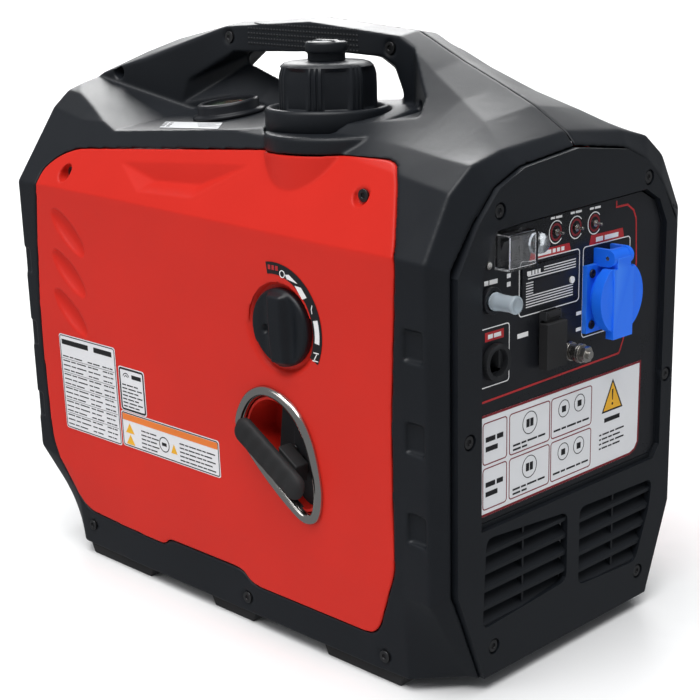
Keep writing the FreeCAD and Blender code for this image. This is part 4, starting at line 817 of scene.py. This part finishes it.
card = Print(on_panel, 0.05, 0.25)
card.area([(-102.5, 133), (79, 133), (86, 135.5), (90.5, 141), (91, 207), (-102.5, 207)])
card.make("end_card_film", PAPER)
border = Print(on_panel, 0.32, 0.1)
border.line([(-102, 134), (79, 134), (85.5, 136.2), (89.5, 141.5), (90, 206.2), (-102, 206.2)], 1.8, True)
CARD_ROWS = ((138, 168), (171, 201))
CARD_CELLS = ((-99, -73), (-70, -24), (-22, 27))
for z0, z1 in CARD_ROWS:
    for y0, y1 in CARD_CELLS:
        border.line(round_corners(y0, y1, z0, z1, 2.5), 0.8, True)
border.make("end_card_border", INK_MAROON)
icons = Print(on_panel, 0.32, 0.1)
for z0, z1 in CARD_ROWS:
    middle = (z0 + z1) / 2
    icons.words(-96, -77, middle + 1, 3.6, (3, 2))
    icons.words(-96, -83, middle - 6, 3.6, (2,))
    icons.circle(-47, middle + 4, 8.2, 0.6)
    icons.box(-51, -47.4, middle + 1, middle + 7)
    icons.box(-46.6, -43, middle + 1, middle + 7)
    icons.words(-66, -29, z0 + 5.4, 1.4, (3, 2, 4, 3))
    icons.words(-66, -50, z0 + 2.2, 1.4, (3, 2))
    for y in (-7, 12):
        icons.circle(y, middle + 5, 6.4, 0.6)
        icons.box(y - 2.4, y + 2.4, middle + 2.4, middle + 7)
    icons.words(-19, 24, z0 + 4.4, 1.4, (3, 2, 4, 2, 3))
icons.line([(41.5, 176), (66.5, 176), (54, 199)], 1.3, True)
icons.area([(53.1, 192), (54.9, 192), (54.5, 183.6), (53.5, 183.6)])
icons.disc(54, 180.6, 1.1, 12)
icons.box(44, 64, 167.4, 170.8)
for k in range(4):
    icons.words(38, 70 - 5 * (k % 2), 158 - 3.6 * k, 1.2, (1, 3, 2, 4))
icons.make("end_card_ink", INK_BLACK)
triangle = Print(on_panel, 0.3, 0.08)
triangle.area([(42.5, 176.6), (65.5, 176.6), (54, 198)])
triangle.make("end_card_triangle", INK_YELLOW)

# ---------------------------------------------------------------- floor, light and camera


def studio():
    floor = bpy.data.objects.new("studio_floor", mesh_from("studio_floor", [
        (-60, -60, 0), (60, -60, 0), (60, 60, 0), (-60, 60, 0)], [(0, 1, 2, 3)]))
    bpy.context.scene.collection.objects.link(floor)
    floor.data.materials.append(FLOOR)
    floor.visible_glossy = False
    world = bpy.data.worlds.new("studio")
    bpy.context.scene.world = world
    world.use_nodes = True
    world.node_tree.nodes["Background"].inputs["Color"].default_value = (0.93, 0.96, 1.0, 1)
    world.node_tree.nodes["Background"].inputs["Strength"].default_value = 0.24
    for name, aim_from, power, angle in (
            ("overhead", (0.1, -0.3, 1.0), 3.1, 50), ("starter_side", (-0.45, -1.0, 0.7), 0.3, 25),
            ("far_sheen", (-0.6, 0.6, 0.55), 2.6, 40)):
        lamp = bpy.data.lights.new("soft_" + name, "SUN")
        lamp.energy = power
        lamp.angle = math.radians(angle)
        holder = bpy.data.objects.new("soft_" + name, lamp)
        holder.rotation_euler = Vector(aim_from).to_track_quat("Z", "Y").to_euler()
        holder.visible_diffuse = name != "far_sheen"
        bpy.context.scene.collection.objects.link(holder)
    bpy.context.scene.view_settings.view_transform = "Standard"


def camera():
    """Camera at the photograph's view: heading, height and roll in degrees."""
    heading, height, roll = (math.radians(v) for v in (44.94, 15.0, -1.17))
    back = Vector((math.sin(heading) * math.cos(height), -math.cos(heading) * math.cos(height), math.sin(height)))
    right = Vector((math.cos(heading), math.sin(heading), 0))
    up = back.cross(right)
    across = right * math.cos(roll) + up * math.sin(roll)
    upright = up * math.cos(roll) - right * math.sin(roll)
    lens = bpy.data.cameras.new("camera")
    lens.sensor_width = 36
    lens.lens = 76.12
    lens.clip_start = 0.01
    holder = bpy.data.objects.new("camera", lens)
    turn = Matrix((across, upright, back)).transposed().to_4x4()
    holder.matrix_world = Matrix.Translation(at(860.8, -845.1, 514.1)) @ turn
    bpy.context.scene.collection.objects.link(holder)
    bpy.context.scene.camera = holder


studio()
camera()
